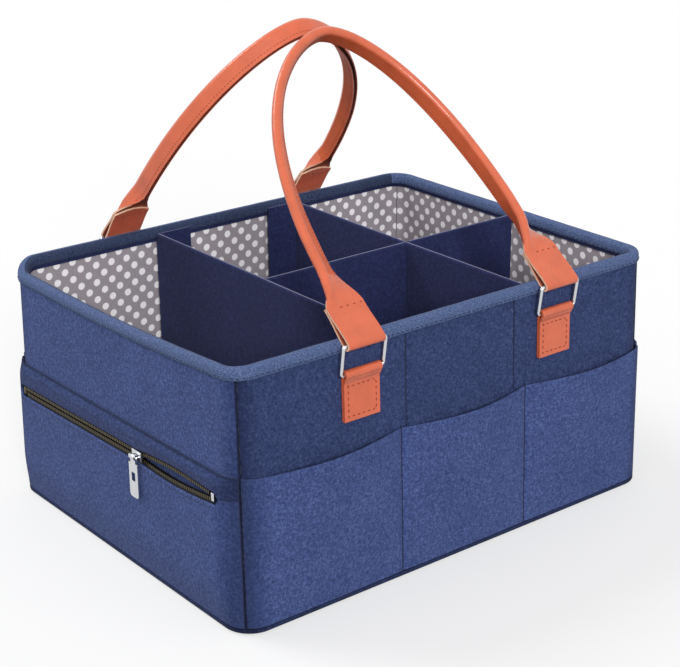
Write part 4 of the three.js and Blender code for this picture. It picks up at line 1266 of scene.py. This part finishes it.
class CADDY_OT_sewing(bpy.types.Operator):
    """Stitches on the felt"""
    bl_idname = "caddy.sewing"
    bl_label = "Sewing"

    def execute(self, context):
        pitch = sizes().felt_pitch
        rows = self.rim() + self.zip_rows()
        sew("felt_sewing", "caddy", rows, pitch, FELT_STITCH, "felt_thread", "trim_navy")
        sew("seam_sewing", "caddy", self.seams(), pitch, SEAM_STITCH, "seam_thread", "trim_navy")
        return {"FINISHED"}

    def rim(self):
        """Rows along the binding's lower edges, outside and inside"""
        rows = []
        for depth in (-GAP - BINDING - PROUD, RIM_INSIDE + PROUD):
            row = [at(station, depth, HEIGHT - BINDING_DROP + 0.0016) for station in all_round(TRIM_STEP)]
            rows.append(row + [row[0]])
        return rows

    def seams(self):
        """Upright rows on the long walls: the pockets' own, and those of the wall above them"""
        pocket_rows = (POCKET_SEAMS, -GAP - 0.0008, steps(30, 0.007, 0.1105))
        wall_rows = (WALL_SEAMS, 0.0008, steps(20, 0.1125, 0.175))
        rows = []
        for side in (-1, 1):
            for marks, depth, heights in (pocket_rows, wall_rows):
                for mark in marks:
                    station = (-side * mark, side * DEPTH / 2, 0, side)
                    rows.append([at(station, depth, z) for z in heights])
        return rows

    def zip_rows(self):
        """Rows along both sides of the zip and along the pocket's top"""
        spots = steps(60, -ZIP_HALF, ZIP_HALF)
        face = ZIP_STANDOFF + FELT + PROUD
        rows = []
        for sign in (-1, 1):
            rows.append([zip_point(face, y, zip_line(y) + sign * (ZIP_WINDOW / 2 + parting(y) + 0.0022))
                         for y in spots])
        level = POCKET_TOP - 0.005
        row = []
        for y in spots:
            low = zip_line(y) + ZIP_WINDOW / 2 + parting(y)
            share = panel_away((level - low) / (POCKET_TOP - low), True)
            row.append(zip_point(GAP + (ZIP_STANDOFF - GAP) * share + FELT + PROUD, y, level))
        return rows + [row]


def looked_at(tree):
    """1 for what the camera, a gloss or a clear thing looks at, and 0 for what only gives light"""
    path = grown(tree, "ShaderNodeLightPath").outputs
    seen = path["Is Camera Ray"]
    for other in ("Is Glossy Ray", "Is Transmission Ray"):
        seen = grown(tree, "ShaderNodeMath", {"operation": "MAXIMUM"}, {0: seen, 1: path[other]}).outputs[0]
    return seen


class CADDY_OT_stage(bpy.types.Operator):
    """Floor, light and camera"""
    bl_idname = "caddy.stage"
    bl_label = "Stage"

    def execute(self, context):
        scene = context.scene
        scene.view_settings.view_transform = "Standard"
        self.floor(scene)
        self.world(scene)
        self.lamps(scene)
        self.camera(scene)
        return {"FINISHED"}

    def floor(self, scene):
        """A pale floor that lights the caddy from below less than it shows"""
        made = Finish("studio_floor", roughness=0.9, specular_ior_level=0.0)
        grain = made.cloud(made.place(), 30, 2.0)
        pale = made.mixed(grain, (0.95, 0.95, 0.95, 1), (0.97, 0.97, 0.97, 1))
        seen = Value(made, looked_at(made.tree))
        made.set("Base Color", made.mixed(seen, (0.25, 0.25, 0.25, 1), pale))
        white = made.node("ShaderNodeEmission")
        shaded = Value(made, made.shader.outputs[0])
        glow = 0.52
        both = made.node("ShaderNodeMixShader", {}, {0: seen * glow, 1: shaded, 2: white})
        feed(made.tree, made.tree.nodes["Material Output"].inputs["Surface"], both)
        mesh = bpy.data.meshes.new("floor")
        reach = 6.0
        corners = [(-reach, -reach, 0), (reach, -reach, 0), (reach, reach, 0), (-reach, reach, 0)]
        mesh.from_pydata(corners, [], [(0, 1, 2, 3)])
        mesh.materials.append(made.material)
        floor = bpy.data.objects.new("floor", mesh)
        floor.location.z = -0.0002
        scene.collection.objects.link(floor)

    def world(self, scene):
        """Soft light all round, and plain white where the camera or a gloss looks past the caddy"""
        world = bpy.data.worlds.new("studio")
        scene.world = world
        world.use_nodes = True
        tree = world.node_tree
        tree.nodes.clear()
        light, white = [
            grown(tree, "ShaderNodeBackground", {}, {"Color": (1, 1, 1, 1), "Strength": strength}).outputs[0]
            for strength in (0.55, 1.0)]
        both = grown(tree, "ShaderNodeMixShader", {}, {0: looked_at(tree), 1: light, 2: white})
        grown(tree, "ShaderNodeOutputWorld", {}, {"Surface": both.outputs[0]})

    def lamps(self, scene):
        """A soft light from over the camera, and a weaker one from behind that lays a shadow in front"""
        for name, strength, spread, place in (
                ("key", 2.0, 16, (-0.4, -0.76, 0.5)), ("back", 1.0, 25, (-0.3, 0.6, 0.75))):
            data = bpy.data.lights.new(name, "SUN")
            data.energy = strength
            data.angle = math.radians(spread)
            self.point(scene, data, Vector(place))

    def point(self, scene, data, place):
        lamp = bpy.data.objects.new(data.name, data)
        lamp.location = place
        lamp.rotation_euler = (Vector((0, 0, 0.1)) - place).to_track_quat("-Z", "Y").to_euler()
        scene.collection.objects.link(lamp)

    def camera(self, scene):
        """The camera that was fitted to the photograph, with its focal length and shifts in pixels"""
        yaw, pitch, roll = (math.radians(v) for v in (-37.99, 22.48, -0.61))
        focal, distance, shift_x, shift_y, width = 1673.06, 1.26259, -9.25, 40.11, 680
        back = Vector((math.sin(yaw) * math.cos(pitch), -math.cos(yaw) * math.cos(pitch), math.sin(pitch)))
        right = Vector((math.cos(yaw), math.sin(yaw), 0))
        up = back.cross(right)
        right, up = right * math.cos(roll) + up * math.sin(roll), up * math.cos(roll) - right * math.sin(roll)
        data = bpy.data.cameras.new("camera")
        data.sensor_width = 36
        data.lens = data.sensor_width * focal / width
        data.shift_x = -shift_x / width
        data.shift_y = shift_y / width
        camera = bpy.data.objects.new("camera", data)
        place = Vector((0, 0, 0.09)) + back * distance
        camera.matrix_world = Matrix((
            (right.x, up.x, back.x, place.x), (right.y, up.y, back.y, place.y),
            (right.z, up.z, back.z, place.z), (0, 0, 0, 1)))
        scene.collection.objects.link(camera)
        scene.camera = camera


class CADDY_PT_panel(bpy.types.Panel):
    """Makes the caddy piece by piece"""
    bl_idname = "CADDY_PT_panel"
    bl_label = "Diaper caddy"
    bl_space_type = "VIEW_3D"
    bl_region_type = "UI"
    bl_category = "Caddy"

    def draw(self, context):
        for step in STEPS:
            self.layout.operator(step.bl_idname)
        for group_of in (context.scene.caddy_sizes, context.scene.caddy_colours):
            column = self.layout.column()
            for name in group_of.__annotations__:
                column.prop(group_of, name)


STEPS = (CADDY_OT_stage, CADDY_OT_basket, CADDY_OT_trim, CADDY_OT_pockets, CADDY_OT_zip, CADDY_OT_handles,
         CADDY_OT_dividers, CADDY_OT_sewing)
CLASSES = (CaddyColours, CaddySizes, *STEPS, CADDY_PT_panel)


def register():
    for kind in CLASSES:
        bpy.utils.register_class(kind)
    bpy.types.Scene.caddy_colours = bpy.props.PointerProperty(type=CaddyColours)
    bpy.types.Scene.caddy_sizes = bpy.props.PointerProperty(type=CaddySizes)


def unregister():
    del bpy.types.Scene.caddy_sizes
    del bpy.types.Scene.caddy_colours
    for kind in reversed(CLASSES):
        bpy.utils.unregister_class(kind)


def main():
    register()
    for step in STEPS:
        family, action = step.bl_idname.split(".")
        getattr(getattr(bpy.ops, family), action)()


if __name__ == "__main__":
    main()
